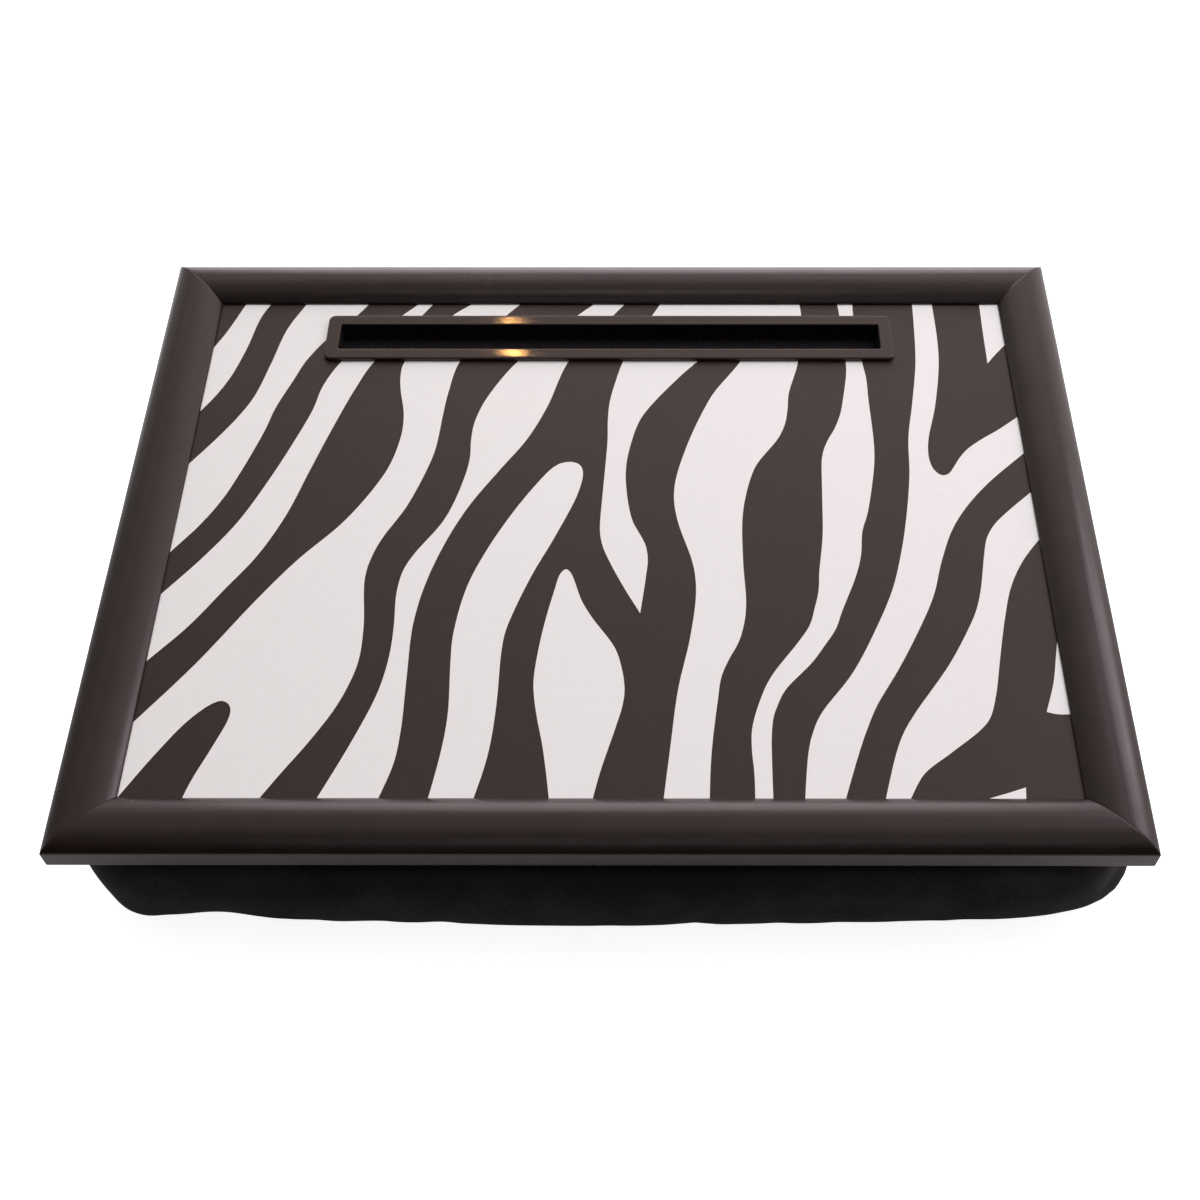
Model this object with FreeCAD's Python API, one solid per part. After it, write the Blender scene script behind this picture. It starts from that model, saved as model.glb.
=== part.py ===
"""Lap tray with a cushion: a picture-frame tray with a tablet well, held on a bean cushion by tape.

Millimetres. X runs left to right, Y front to back, Z up. The origin is the middle of the cushion's base.
"""
import FreeCAD
import Part
import math
import os

Vector = FreeCAD.Vector

# Driving dimensions: the tray as a whole
tray_width = 440.0
tray_depth = 330.0

# Frame moulding: insets run inwards from the outer face, heights run up from the underside, and the lip
# over the panel thins down to its inner edge
moulding_width = 25.5
side_face_height = 9.7
crest_height = 14.3
crest_start_inset = 10.5
crest_end_inset = 13.5
lip_edge_thickness = 0.9
rabbet_width = 6.0

# V nails that hold the mitres together from below
nail_leg = 5.0
nail_thickness = 0.8
nail_height = 7.0
nail_outer_inset = 8.0
nail_inner_inset = 16.0

# Printed panel in the rabbet, and the framing points under it
panel_thickness = 3.0
panel_setback = 5.0
panel_clearance = 0.5
point_width = 8.0
point_thickness = 0.6
point_embed = 5.0
point_reach = 9.0
point_tip = 3.0
points_on_long_rail = 3
points_on_short_rail = 2

# Tablet well: slot, bezel flange and trough
slot_length = 266.0
slot_width = 16.4
slot_back_gap = 15.9
flange_margin = 6.5
flange_thickness = 2.2
flange_corner_radius = 3.5
flange_edge_radius = 0.8
well_wall = 1.5
well_corner_radius = 1.5
well_clearance = 0.3
well_lift = 0.5
barb_length = 14.0
barb_height = 3.0
barb_reach = 1.0
barbs_per_side = 4

# Hook and loop tape between the frame and the cushion
tape_width = 12.0
tape_thickness = 1.3
tape_inset = 7.0
tape_corner_gap = 60.0
tape_gap = 0.2

# Cushion: insets run inwards from the frame's outer face, swells run outwards from it
cushion_height = 58.0
cushion_fullest_height = 26.0
cushion_swell_front = 8.0
cushion_swell_side = 8.0
cushion_top_inset = 5.0
cushion_base_inset = 24.0
cushion_full_corner = 40.0
cushion_end_corner = 30.0
cushion_full_bow = 6.0
cushion_end_bow = 2.5
cover_thickness = 0.8
bead_diameter = 2.5
bead_gap = 0.3

# Crown of the cushion's top, in the hollow under the panel
crown_height = 5.0
crown_run = 55.0
crown_corner = 40.0
crown_bow = 3.0
crown_margin = 6.0

# Levels that follow from the stack of cushion, tapes, frame, panel and bezel
frame_underside = cushion_height + 2 * tape_thickness + tape_gap
panel_underside = frame_underside + panel_setback
panel_top = panel_underside + panel_thickness
flange_top = panel_top + flange_thickness
well_underside = cushion_height + well_lift
well_floor = well_underside + well_wall
cushion_rim = cushion_height - cover_thickness
rabbet_wall_inset = moulding_width - rabbet_width
slot_centre_y = tray_depth / 2 - moulding_width - slot_back_gap - slot_width / 2

# Cuts reach this far past the faces they open
overcut = 1.0

# Degrees of turn between one outline of the cushion and the next
side_step = 18
crown_step = 45


def prism(corners, bottom, height):
    """Upright prism over a polygon given by its XY corners."""
    points = [Vector(x, y, bottom) for x, y in corners]
    wire = Part.makePolygon(points + points[:1])
    return Part.Face(wire).extrude(Vector(0, 0, height))


def rounded_block(length, width, bottom, top, radius, centre_y=0.0):
    """Upright block with rounded vertical edges, centred on X 0."""
    corner = Vector(-length / 2, centre_y - width / 2, bottom)
    block = Part.makeBox(length, width, top - bottom, corner)
    upright = [edge for edge in block.Edges if edge.BoundBox.ZLength > (top - bottom) / 2]
    return block.makeFillet(radius, upright)


def level_arc(level_end, free_end):
    """Arc in a plane of constant X that is level at one end and passes through the other end."""
    run = free_end.y - level_end.y
    drop = level_end.z - free_end.z
    radius = (run ** 2 + drop ** 2) / (2 * drop)
    half_turn = math.asin(run / radius) / 2
    middle = level_end + Vector(0, radius * math.sin(half_turn), radius * (math.cos(half_turn) - 1))
    return Part.Arc(level_end, middle, free_end).toShape()


def moulding_section():
    """Section of the frame moulding: outer face at Y 0, underside at Z 0, dome above and rabbet inside."""
    rabbet_height = panel_setback + panel_thickness
    arris = Vector(0, 0, side_face_height)
    crest_start = Vector(0, crest_start_inset, crest_height)
    crest_end = Vector(0, crest_end_inset, crest_height)
    inner_edge = Vector(0, moulding_width, rabbet_height + lip_edge_thickness)
    outline = [
        inner_edge,
        Vector(0, moulding_width, rabbet_height),
        Vector(0, rabbet_wall_inset, rabbet_height),
        Vector(0, rabbet_wall_inset, 0),
        Vector(0, 0, 0),
        arris,
    ]
    straight = [Part.makeLine(a, b) for a, b in zip(outline, outline[1:])]
    dome = [
        level_arc(crest_start, arris),
        Part.makeLine(crest_start, crest_end),
        level_arc(crest_end, inner_edge),
    ]
    return Part.Face(Part.Wire(Part.__sortEdges__(straight + dome)))


def mitred_rail(length, span):
    """Front rail of a frame that is `length` wide and `span` deep, mitred at both ends."""
    bar = moulding_section().extrude(Vector(length, 0, 0))
    bar.translate(Vector(-length / 2, -span / 2, frame_underside))
    reach = moulding_width + overcut
    front = -span / 2
    mitres = [
        (-length / 2, front),
        (length / 2, front),
        (length / 2 - reach, front + reach),
        (-length / 2 + reach, front + reach),
    ]
    return bar.common(prism(mitres, frame_underside, crest_height))


def v_nail(side_x, side_y, inset):
    """Bent nail across one mitre, its two legs lying in the two rails."""
    tail = inset - nail_leg
    inside = inset - nail_thickness
    steps = [(inset, inset), (inset, tail), (inside, tail), (inside, inside), (tail, inside), (tail, inset)]
    corners = [(side_x * (tray_width / 2 - a), side_y * (tray_depth / 2 - b)) for a, b in steps]
    return prism(corners, frame_underside, nail_height)


def even_places(count, length):
    """Centres of `count` equal shares of a length, measured from its middle."""
    return [(index + 0.5) * length / count - length / 2 for index in range(count)]


def framing_point(along, span):
    """Flat pointed plate in the front rail's rabbet wall, lying against the panel's underside."""
    wall = -span / 2 + rabbet_wall_inset
    half = point_width / 2
    corners = [
        (along, wall - point_embed),
        (along + half, wall - point_embed + point_tip),
        (along + half, wall + point_reach),
        (along - half, wall + point_reach),
        (along - half, wall - point_embed + point_tip),
    ]
    return prism(corners, panel_underside - point_thickness, point_thickness)


def panel():
    """Board that fills the rabbet, with the cut-out that the trough passes through."""
    length = tray_width - 2 * (rabbet_wall_inset + panel_clearance)
    width = tray_depth - 2 * (rabbet_wall_inset + panel_clearance)
    board = Part.makeBox(length, width, panel_thickness, Vector(-length / 2, -width / 2, panel_underside))
    grow = 2 * (well_wall + well_clearance)
    opening = rounded_block(
        slot_length + grow, slot_width + grow, panel_underside - overcut, panel_top + overcut,
        well_corner_radius + well_clearance, slot_centre_y)
    return board.cut(opening)


def snap_barb(along, side):
    """Wedge on the trough's wall that catches under the panel; side is -1 at the front, 1 at the back."""
    wall = slot_centre_y + side * (slot_width / 2 + well_wall)
    root = wall - side * well_wall / 2
    tip = wall + side * (well_clearance + barb_reach)
    start = along - barb_length / 2
    points = [
        Vector(start, root, panel_underside),
        Vector(start, tip, panel_underside),
        Vector(start, wall, panel_underside - barb_height),
        Vector(start, root, panel_underside - barb_height),
    ]
    return Part.Face(Part.makePolygon(points + points[:1])).extrude(Vector(barb_length, 0, 0))


def tablet_well():
    """One moulding: bezel flange on the panel, trough through it and snap barbs below."""
    flange = rounded_block(
        slot_length + 2 * flange_margin, slot_width + 2 * flange_margin, panel_top, flange_top,
        flange_corner_radius, slot_centre_y)
    rim = [edge for edge in flange.Edges if edge.BoundBox.ZMin > flange_top - flange_thickness / 2]
    flange = flange.makeFillet(flange_edge_radius, rim)
    trough = rounded_block(
        slot_length + 2 * well_wall, slot_width + 2 * well_wall, well_underside, panel_top,
        well_corner_radius, slot_centre_y)
    body = flange.fuse(trough)
    for along in even_places(barbs_per_side, slot_length):
        for side in (-1, 1):
            body = body.fuse(snap_barb(along, side))
    corner = Vector(-slot_length / 2, slot_centre_y - slot_width / 2, well_floor)
    slot = Part.makeBox(slot_length, slot_width, flange_top - well_floor + overcut, corner)
    return body.cut(slot).removeSplitter()


def tape_strip(length, span, bottom):
    """Strip of tape under the front rail of a frame that is `length` wide and `span` deep."""
    run = length - 2 * tape_corner_gap
    return Part.makeBox(run, tape_width, tape_thickness, Vector(-run / 2, -span / 2 + tape_inset, bottom))


def bowed_outline(half_x, half_y, corner, bow, z, centre_y=0.0):
    """Closed outline of four gently bowed sides joined by four tangent corner arcs."""
    front_radius = (half_x ** 2 + bow ** 2) / (2 * bow)
    side_radius = (half_y ** 2 + bow ** 2) / (2 * bow)
    front_centre = Vector(0, half_y - front_radius, 0)
    side_centre = Vector(half_x - side_radius, 0, 0)
    front_reach = front_radius - corner
    side_reach = side_radius - corner
    between = side_centre - front_centre
    apart = between.Length
    along = (front_reach ** 2 - side_reach ** 2 + apart ** 2) / (2 * apart)
    across = math.sqrt(front_reach ** 2 - along ** 2)
    unit = between / apart
    corner_centre = front_centre + unit * along + Vector(unit.y, -unit.x, 0) * across
    front_touch = corner_centre + (corner_centre - front_centre).normalize() * corner
    side_touch = corner_centre + (corner_centre - side_centre).normalize() * corner
    corner_out = (front_touch + side_touch - corner_centre * 2).normalize()
    corner_middle = corner_centre + corner_out * corner

    def place(point, flip_x, flip_y):
        return Vector(point.x * flip_x, centre_y + point.y * flip_y, z)

    front = Vector(0, half_y, 0)
    side = Vector(half_x, 0, 0)
    route = [
        (place(front_touch, -1, -1), place(front, 1, -1), place(front_touch, 1, -1)),
        (place(front_touch, 1, -1), place(corner_middle, 1, -1), place(side_touch, 1, -1)),
        (place(side_touch, 1, -1), place(side, 1, 1), place(side_touch, 1, 1)),
        (place(side_touch, 1, 1), place(corner_middle, 1, 1), place(front_touch, 1, 1)),
        (place(front_touch, 1, 1), place(front, 1, 1), place(front_touch, -1, 1)),
        (place(front_touch, -1, 1), place(corner_middle, -1, 1), place(side_touch, -1, 1)),
        (place(side_touch, -1, 1), place(side, -1, 1), place(side_touch, -1, -1)),
        (place(side_touch, -1, -1), place(corner_middle, -1, -1), place(front_touch, -1, -1)),
    ]
    return Part.Wire([Part.Arc(*points).toShape() for points in route])


def cushion_outline(angle, skin, top):
    """Outline of the cushion at an angle of its side: -90 is the base, 0 the fullest line, 90 the top."""
    turn = math.radians(angle)
    fullness = math.cos(turn)
    end_inset = cushion_base_inset if angle < 0 else cushion_top_inset
    end_level = skin if angle < 0 else top
    z = cushion_fullest_height + (end_level - cushion_fullest_height) * abs(math.sin(turn))
    half_x = tray_width / 2 - end_inset + (end_inset + cushion_swell_side) * fullness - skin
    half_y = tray_depth / 2 - end_inset + (end_inset + cushion_swell_front) * fullness - skin
    corner = cushion_end_corner + (cushion_full_corner - cushion_end_corner) * fullness - skin
    bow = cushion_end_bow + (cushion_full_bow - cushion_end_bow) * fullness
    return bowed_outline(half_x, half_y, corner, bow, z)


def cushion_body(skin, top):
    """Rounded body of the cushion, drawn in by `skin` all round and cut level at `top`."""
    angles = range(-90, 91, side_step)
    return Part.makeLoft([cushion_outline(angle, skin, top) for angle in angles], True, True)


def crown(drop):
    """Crown of the cushion's top in front of the well, lowered by `drop`."""
    hollow = moulding_width + crown_margin
    half_x = tray_width / 2 - hollow
    front = -tray_depth / 2 + hollow
    back = slot_centre_y - slot_width / 2 - well_wall - crown_margin
    half_y = (back - front) / 2
    outlines = []
    for angle in range(0, 91, crown_step):
        inset = crown_run * angle / 90
        z = cushion_height - drop + crown_height * math.sin(math.radians(angle))
        outlines.append(bowed_outline(
            half_x - inset, half_y - inset, crown_corner, crown_bow, z, (front + back) / 2))
    return Part.makeLoft(outlines, True, True)


def top_sheet():
    """Flat sheet sewn to the bowl's rim, with its crown."""
    plate = Part.Face(cushion_outline(90, 0, cushion_rim)).extrude(Vector(0, 0, cover_thickness))
    return plate.fuse(crown(0)).cut(crown(cover_thickness)).removeSplitter()


def bead_layer():
    """Layer of beads, one bead deep, that lies against the inside of the cover."""
    outer = cover_thickness + bead_gap
    inner = outer + bead_diameter
    full = cushion_body(outer, cushion_height - outer).fuse(crown(outer))
    hollow = cushion_body(inner, cushion_height - inner).fuse(crown(inner))
    return full.cut(hollow).removeSplitter()


def turned(shape, quarter_turns):
    """The shape turned about the tray's upright axis, from the front side to another side."""
    shape.rotate(Vector(0, 0, 0), Vector(0, 0, 1), 90 * quarter_turns)
    return shape


# Each side of the tray: its quarter turns from the front, its length and the span to the side facing it
sides = {
    "front": (0, tray_width, tray_depth),
    "right": (1, tray_depth, tray_width),
    "back": (2, tray_width, tray_depth),
    "left": (3, tray_depth, tray_width),
}

nodes = {}

# Fasteners first, because the rails are cut to receive them
for name_y, side_y in (("front", -1), ("back", 1)):
    for name_x, side_x in (("left", -1), ("right", 1)):
        nodes[f"v_nail_{name_y}_{name_x}_outer"] = v_nail(side_x, side_y, nail_outer_inset)
        nodes[f"v_nail_{name_y}_{name_x}_inner"] = v_nail(side_x, side_y, nail_inner_inset)
for name, (turns, length, span) in sides.items():
    count = points_on_long_rail if name in ("front", "back") else points_on_short_rail
    for number, along in enumerate(even_places(count, length - 2 * rabbet_wall_inset), 1):
        nodes[f"framing_point_{name}_{number}"] = turned(framing_point(along, span), turns)
fasteners = list(nodes.values())

# Frame, panel and well
for name, (turns, length, span) in sides.items():
    nodes[f"{name}_rail"] = turned(mitred_rail(length, span), turns).cut(fasteners)
nodes["printed_panel"] = panel()
nodes["tablet_well"] = tablet_well()

# Tapes: hooks under the frame, loops on the cushion
for name, (turns, length, span) in sides.items():
    nodes[f"hook_tape_{name}"] = turned(tape_strip(length, span, frame_underside - tape_thickness), turns)
    nodes[f"loop_tape_{name}"] = turned(tape_strip(length, span, cushion_height), turns)

# Cushion
nodes["cushion_bowl"] = cushion_body(0, cushion_rim).cut(cushion_body(cover_thickness, cushion_rim))
nodes["cushion_top_sheet"] = top_sheet()
nodes["bead_filling"] = bead_layer()

os.makedirs("parts", exist_ok=True)
for name, shape in nodes.items():
    shape.exportStep(f"parts/{name}.step")
    print(f"{name}: {len(shape.Solids)} solid, {shape.Volume / 1000:.2f} cm3, valid {shape.isValid()}")
print(f"slot depth {flange_top - well_floor:.1f} mm, height {frame_underside + crest_height:.1f} mm")
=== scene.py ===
# %% [markdown]
# # Lap tray with a cushion
# A lap tray is a picture frame with a printed board in it, fixed on a cushion that is filled with beads.
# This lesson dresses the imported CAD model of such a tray: the CAD gives every size and place, and Blender
# gives the fine shapes and the finishes. All lengths in the lists below are millimetres, because that is
# how a maker measures, and MM turns them into Blender's metres.

import math

import bpy
import numpy as np
from mathutils import Matrix, Vector, geometry


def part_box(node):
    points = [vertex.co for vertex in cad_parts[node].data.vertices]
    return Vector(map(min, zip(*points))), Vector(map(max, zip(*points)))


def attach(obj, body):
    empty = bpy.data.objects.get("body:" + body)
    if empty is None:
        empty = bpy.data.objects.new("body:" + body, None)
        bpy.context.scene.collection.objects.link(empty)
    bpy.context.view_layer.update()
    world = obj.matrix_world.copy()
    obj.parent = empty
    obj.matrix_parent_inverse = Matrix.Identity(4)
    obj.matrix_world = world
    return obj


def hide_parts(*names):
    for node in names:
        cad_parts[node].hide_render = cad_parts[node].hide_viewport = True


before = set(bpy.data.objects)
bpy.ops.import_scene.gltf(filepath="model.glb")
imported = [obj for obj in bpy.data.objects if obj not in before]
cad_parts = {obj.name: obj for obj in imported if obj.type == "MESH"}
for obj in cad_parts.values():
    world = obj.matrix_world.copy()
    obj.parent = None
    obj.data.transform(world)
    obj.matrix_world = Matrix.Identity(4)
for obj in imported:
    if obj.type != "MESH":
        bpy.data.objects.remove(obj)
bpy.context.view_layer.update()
scene = bpy.context.scene
MM = 0.001

# %% [markdown]
# ## Sizes read from the CAD
# A piece that replaces a CAD node has to lie exactly where that node lies. The safest way is to ask the
# model for its boxes and to work from them, so that a change in the CAD moves the visible pieces too.

# %% Levels and half widths, in millimetres


def node_box(name):
    """Lowest and highest corner of a CAD node, in millimetres."""
    low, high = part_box(name)
    return np.array(low) / MM, np.array(high) / MM


rail_low, rail_high = node_box("front_rail")
panel_low, panel_high = node_box("printed_panel")
well_low, well_high = node_box("tablet_well")
sheet_top = node_box("cushion_top_sheet")[1][2]
tray_half_x = rail_high[0]
tray_half_y = -rail_low[1]
frame_underside = rail_low[2]
panel_underside = panel_low[2]
panel_top = panel_high[2]
print("frame underside", round(frame_underside, 2), "panel top", round(panel_top, 2))

# %% [markdown]
# ## Camera
# The photograph was taken from in front and above, about 72 cm from the middle of the tray. The corners
# of the frame give the camera's place and its focal length; the photograph is cropped a little to one
# side, which is what the small shift stands for. The axes are built by hand, because the slight turn and
# roll are known.

# %% Camera at the photograph's place
eye = Vector((17.92, -440.6, 637.56)) * MM
pitch, yaw, roll = 0.9592, -0.0042, 0.0028
focal_pixels = 1589.1
photo_pixels = 1200
principal_column = 641.7

ahead = Vector((math.sin(yaw) * math.cos(pitch), math.cos(yaw) * math.cos(pitch), -math.sin(pitch)))
level_right = Vector((math.cos(yaw), -math.sin(yaw), 0))
level_down = ahead.cross(level_right)
right = level_right * math.cos(roll) + level_down * math.sin(roll)
up = level_right * math.sin(roll) - level_down * math.cos(roll)
camera_data = bpy.data.cameras.new("photo_camera")
camera_data.sensor_width = 36
camera_data.lens = camera_data.sensor_width * focal_pixels / photo_pixels
camera_data.shift_x = (photo_pixels / 2 - principal_column) / photo_pixels
camera = bpy.data.objects.new("photo_camera", camera_data)
scene.collection.objects.link(camera)
camera.matrix_world = Matrix.Translation(eye) @ Matrix((right, up, -ahead)).transposed().to_4x4()
scene.camera = camera
print("lens", round(camera_data.lens, 2), "mm, shift", round(camera_data.shift_x, 4))

# %% [markdown]
# ## Node helpers
# Every finish below is a small node tree. Five short helpers keep the cells readable: they add a node and
# set its fields, join two sockets, open a new group with named sockets, calculate with sockets, and turn
# one range of values into another.

# %% Helpers for node trees


def add_node(tree, kind, values=None, **fields):
    """New node with fields set, and default values of its inputs by name or number."""
    node = tree.nodes.new(kind)
    for field, value in fields.items():
        setattr(node, field, value)
    for socket, value in (values or {}).items():
        node.inputs[socket].default_value = value
    return node


def join(tree, source, target):
    """Link from an output socket to an input socket."""
    tree.links.new(source, target)


def new_group(name, inputs, outputs, kind="ShaderNodeTree"):
    """Node group with named sockets, and its input and output nodes."""
    tree = bpy.data.node_groups.new(name, kind)
    for label, socket_type, value in inputs:
        socket = tree.interface.new_socket(label, in_out="INPUT", socket_type=socket_type)
        if value is not None:
            socket.default_value = value
    for label, socket_type in outputs:
        tree.interface.new_socket(label, in_out="OUTPUT", socket_type=socket_type)
    return tree, tree.nodes.new("NodeGroupInput"), tree.nodes.new("NodeGroupOutput")


def maths(tree, operation, first, second=0.0):
    """Math node fed by sockets or by plain numbers; gives its output socket."""
    node = add_node(tree, "ShaderNodeMath", operation=operation)
    for place, value in enumerate((first, second)):
        if isinstance(value, (int, float)):
            node.inputs[place].default_value = value
        else:
            join(tree, value, node.inputs[place])
    return node.outputs[0]


def ramp(tree, value, ends, levels):
    """Map Range node from a pair of ends to a pair of levels; gives its output socket."""
    fields = dict(zip(("From Min", "From Max", "To Min", "To Max"), (*ends, *levels)))
    node = add_node(tree, "ShaderNodeMapRange", fields)
    join(tree, value, node.inputs["Value"])
    return node.outputs[0]


print("node helpers ready")

# %% [markdown]
# ## Shared surface effects
# No real surface has one colour and one gloss all over: foil, plastic and cloth all vary a little from
# patch to patch. Two groups give that to every material here. The first shades a colour up and down, the
# second spreads a roughness between two values. A third draws a plain weave, threads that pass over and
# under each other.

# %% Shader groups: mottle, gloss patches and weave
FLOAT = "NodeSocketFloat"
COLOR = "NodeSocketColor"
VECTOR = "NodeSocketVector"
plane_sharpness = 3.0


def make_mottle():
    """Group that shades a colour in soft patches."""
    tree, inlet, outlet = new_group(
        "mottle",
        [("Vector", VECTOR, None), ("Color", COLOR, None), ("Scale", FLOAT, 40.0), ("Depth", FLOAT, 0.15)],
        [("Color", COLOR)])
    noise = add_node(tree, "ShaderNodeTexNoise", {"Detail": 5.0, "Roughness": 0.62})
    spread = add_node(tree, "ShaderNodeMapRange", {"From Min": 0.3, "From Max": 0.7})
    shade = add_node(tree, "ShaderNodeVectorMath", operation="SCALE")
    join(tree, inlet.outputs["Vector"], noise.inputs["Vector"])
    join(tree, inlet.outputs["Scale"], noise.inputs["Scale"])
    join(tree, noise.outputs[0], spread.inputs["Value"])
    join(tree, maths(tree, "SUBTRACT", 1.0, inlet.outputs["Depth"]), spread.inputs["To Min"])
    join(tree, maths(tree, "ADD", 1.0, inlet.outputs["Depth"]), spread.inputs["To Max"])
    join(tree, inlet.outputs["Color"], shade.inputs[0])
    join(tree, spread.outputs[0], shade.inputs["Scale"])
    join(tree, shade.outputs[0], outlet.inputs["Color"])
    return tree


def make_gloss_patches():
    """Group that spreads a roughness between two values in soft patches."""
    tree, inlet, outlet = new_group(
        "gloss_patches",
        [("Vector", VECTOR, None), ("Scale", FLOAT, 30.0), ("Low", FLOAT, 0.3), ("High", FLOAT, 0.4)],
        [("Roughness", FLOAT)])
    noise = add_node(tree, "ShaderNodeTexNoise", {"Detail": 3.0})
    spread = add_node(tree, "ShaderNodeMapRange", {"From Min": 0.35, "From Max": 0.65})
    join(tree, inlet.outputs["Vector"], noise.inputs["Vector"])
    join(tree, inlet.outputs["Scale"], noise.inputs["Scale"])
    join(tree, noise.outputs[0], spread.inputs["Value"])
    join(tree, inlet.outputs["Low"], spread.inputs["To Min"])
    join(tree, inlet.outputs["High"], spread.inputs["To Max"])
    join(tree, spread.outputs[0], outlet.inputs["Roughness"])
    return tree


def make_weave():
    """Group that draws a plain weave on three planes and takes the one that each face lies in."""
    tree, inlet, outlet = new_group(
        "weave", [("Vector", VECTOR, None), ("Pitch", FLOAT, 0.0008)], [("Height", FLOAT)])
    scaled = add_node(tree, "ShaderNodeVectorMath", operation="SCALE")
    join(tree, inlet.outputs["Vector"], scaled.inputs[0])
    join(tree, maths(tree, "DIVIDE", math.pi, inlet.outputs["Pitch"]), scaled.inputs["Scale"])
    parts = add_node(tree, "ShaderNodeSeparateXYZ")
    join(tree, scaled.outputs[0], parts.inputs[0])
    waves = [maths(tree, "SINE", parts.outputs[axis]) for axis in range(3)]
    normal = add_node(tree, "ShaderNodeNewGeometry")
    facing = add_node(tree, "ShaderNodeSeparateXYZ")
    join(tree, normal.outputs["Normal"], facing.inputs[0])
    height = None
    for axis in range(3):
        crossing = maths(tree, "MULTIPLY", waves[(axis + 1) % 3], waves[(axis + 2) % 3])
        share = maths(tree, "POWER", maths(tree, "ABSOLUTE", facing.outputs[axis]), plane_sharpness)
        part = maths(tree, "MULTIPLY", crossing, share)
        height = part if height is None else maths(tree, "ADD", height, part)
    join(tree, height, outlet.inputs["Height"])
    return tree


mottle = make_mottle()
gloss_patches = make_gloss_patches()
weave = make_weave()
print("shader groups:", mottle.name, gloss_patches.name, weave.name)

# %% [markdown]
# ## A material and its layers
# Each material starts from the Principled shader. A helper puts the mottle on its colour and the patches
# on its roughness, both read from the piece's own coordinates. Whatever is particular to one finish, such
# as grain or weave, is added in that finish's own cell as a bump.

# %% Helper for materials


def place_group(tree, group, values):
    """Group node with values on its inputs."""
    node = add_node(tree, "ShaderNodeGroup", node_tree=group)
    for label, value in values.items():
        node.inputs[label].default_value = value
    return node


def new_finish(name, color, gloss, mottling=(60.0, 0.12), patch_scale=35.0, specular=0.5):
    """Material with mottled colour and patchy gloss; gives the material, its tree, shader and coordinates."""
    material = bpy.data.materials.new(name)
    material.use_nodes = True
    tree = material.node_tree
    shader = tree.nodes["Principled BSDF"]
    shader.inputs["Specular IOR Level"].default_value = specular
    place = add_node(tree, "ShaderNodeTexCoord").outputs["Object"]
    shade = place_group(tree, mottle, {"Color": (*color, 1), "Scale": mottling[0], "Depth": mottling[1]})
    patches = place_group(tree, gloss_patches, {"Scale": patch_scale, "Low": gloss[0], "High": gloss[1]})
    join(tree, place, shade.inputs["Vector"])
    join(tree, place, patches.inputs["Vector"])
    join(tree, shade.outputs["Color"], shader.inputs["Base Color"])
    join(tree, patches.outputs["Roughness"], shader.inputs["Roughness"])
    material.diffuse_color = (*color, 1)
    return material, tree, shader, place


def add_bump(tree, shader, height, distance, strength=1.0, under=None):
    """Bump from a height socket on the shader, over another bump if one is given."""
    bump = add_node(tree, "ShaderNodeBump", {"Strength": strength, "Distance": distance})
    join(tree, height, bump.inputs["Height"])
    if under is not None:
        join(tree, under, bump.inputs["Normal"])
    join(tree, bump.outputs[0], shader.inputs["Normal"])
    return bump.outputs[0]


def add_noise(tree, place, scale, detail=4.0):
    """Noise texture on given coordinates; gives its height socket."""
    noise = add_node(tree, "ShaderNodeTexNoise", {"Scale": scale, "Detail": detail})
    join(tree, place, noise.inputs["Vector"])
    return noise.outputs[0]


print("material helper ready")

# %% [markdown]
# ## Finish of the frame: satin black foil
# Mouldings of this kind are wrapped in a thin foil printed and embossed like fine wood, then sprayed
# satin. Under a low light it shows faint lines along each rail. The lines follow the rail and not the
# room, so they are drawn on a UV map whose first axis runs along the rail.

# %% Moulding material
grain_stretch = (12.0, 1500.0, 1.0)
moulding_foil, tree, shader, place = new_finish(
    "satin_black_foil", color=(0.0140, 0.0077, 0.0072), gloss=(0.24, 0.3), mottling=(90.0, 0.2))
rail_map = add_node(tree, "ShaderNodeUVMap", uv_map="along_rail").outputs[0]
stretch = add_node(tree, "ShaderNodeMapping", {"Scale": grain_stretch})
join(tree, rail_map, stretch.inputs["Vector"])
grain = add_noise(tree, stretch.outputs[0], scale=1.0, detail=3.0)
add_bump(tree, shader, grain, distance=0.00005, strength=0.8)
print("made", moulding_foil.name)

# %% [markdown]
# ## Mitred rails
# Each rail is one length of moulding cut at 45 degrees at both ends. Its section has an upright outer
# face, a dome of two arcs with a narrow flat crest, and a rabbet underneath that holds the board. A mesh
# for it is the section repeated at a few stations along the rail, with every point of an end station
# moved to the mitre plane. The last station is drawn in by a tenth of a millimetre, which leaves the fine
# line seen at a real mitre.

# %% Section of the moulding, as (inset, height) points
moulding_width = 25.5
side_face_height = 9.7
crest_height = rail_high[2] - rail_low[2]
crest_insets = (10.5, 13.5)
rabbet_inset = 19.5
rabbet_height = panel_top - frame_underside
inner_edge_height = rabbet_height + 0.9
edge_round = 0.8
inner_round = 0.4
lip_round = 0.25
foot_round = 0.5
rabbet_round = 0.3
foot_support, edge_support = 1.2, 0.6
outer_steps, inner_steps = 14, 12


def level_arc(level_inset, end_inset, end_height, count):
    """Points of an arc that is level at the crest and runs down to a given end."""
    run = end_inset - level_inset
    drop = crest_height - end_height
    radius = (run ** 2 + drop ** 2) / (2 * drop)
    turn = math.asin(run / radius)
    steps = [turn * i / count for i in range(count + 1)]
    return [(level_inset + radius * math.sin(a), crest_height - radius * (1 - math.cos(a))) for a in steps]


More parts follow.
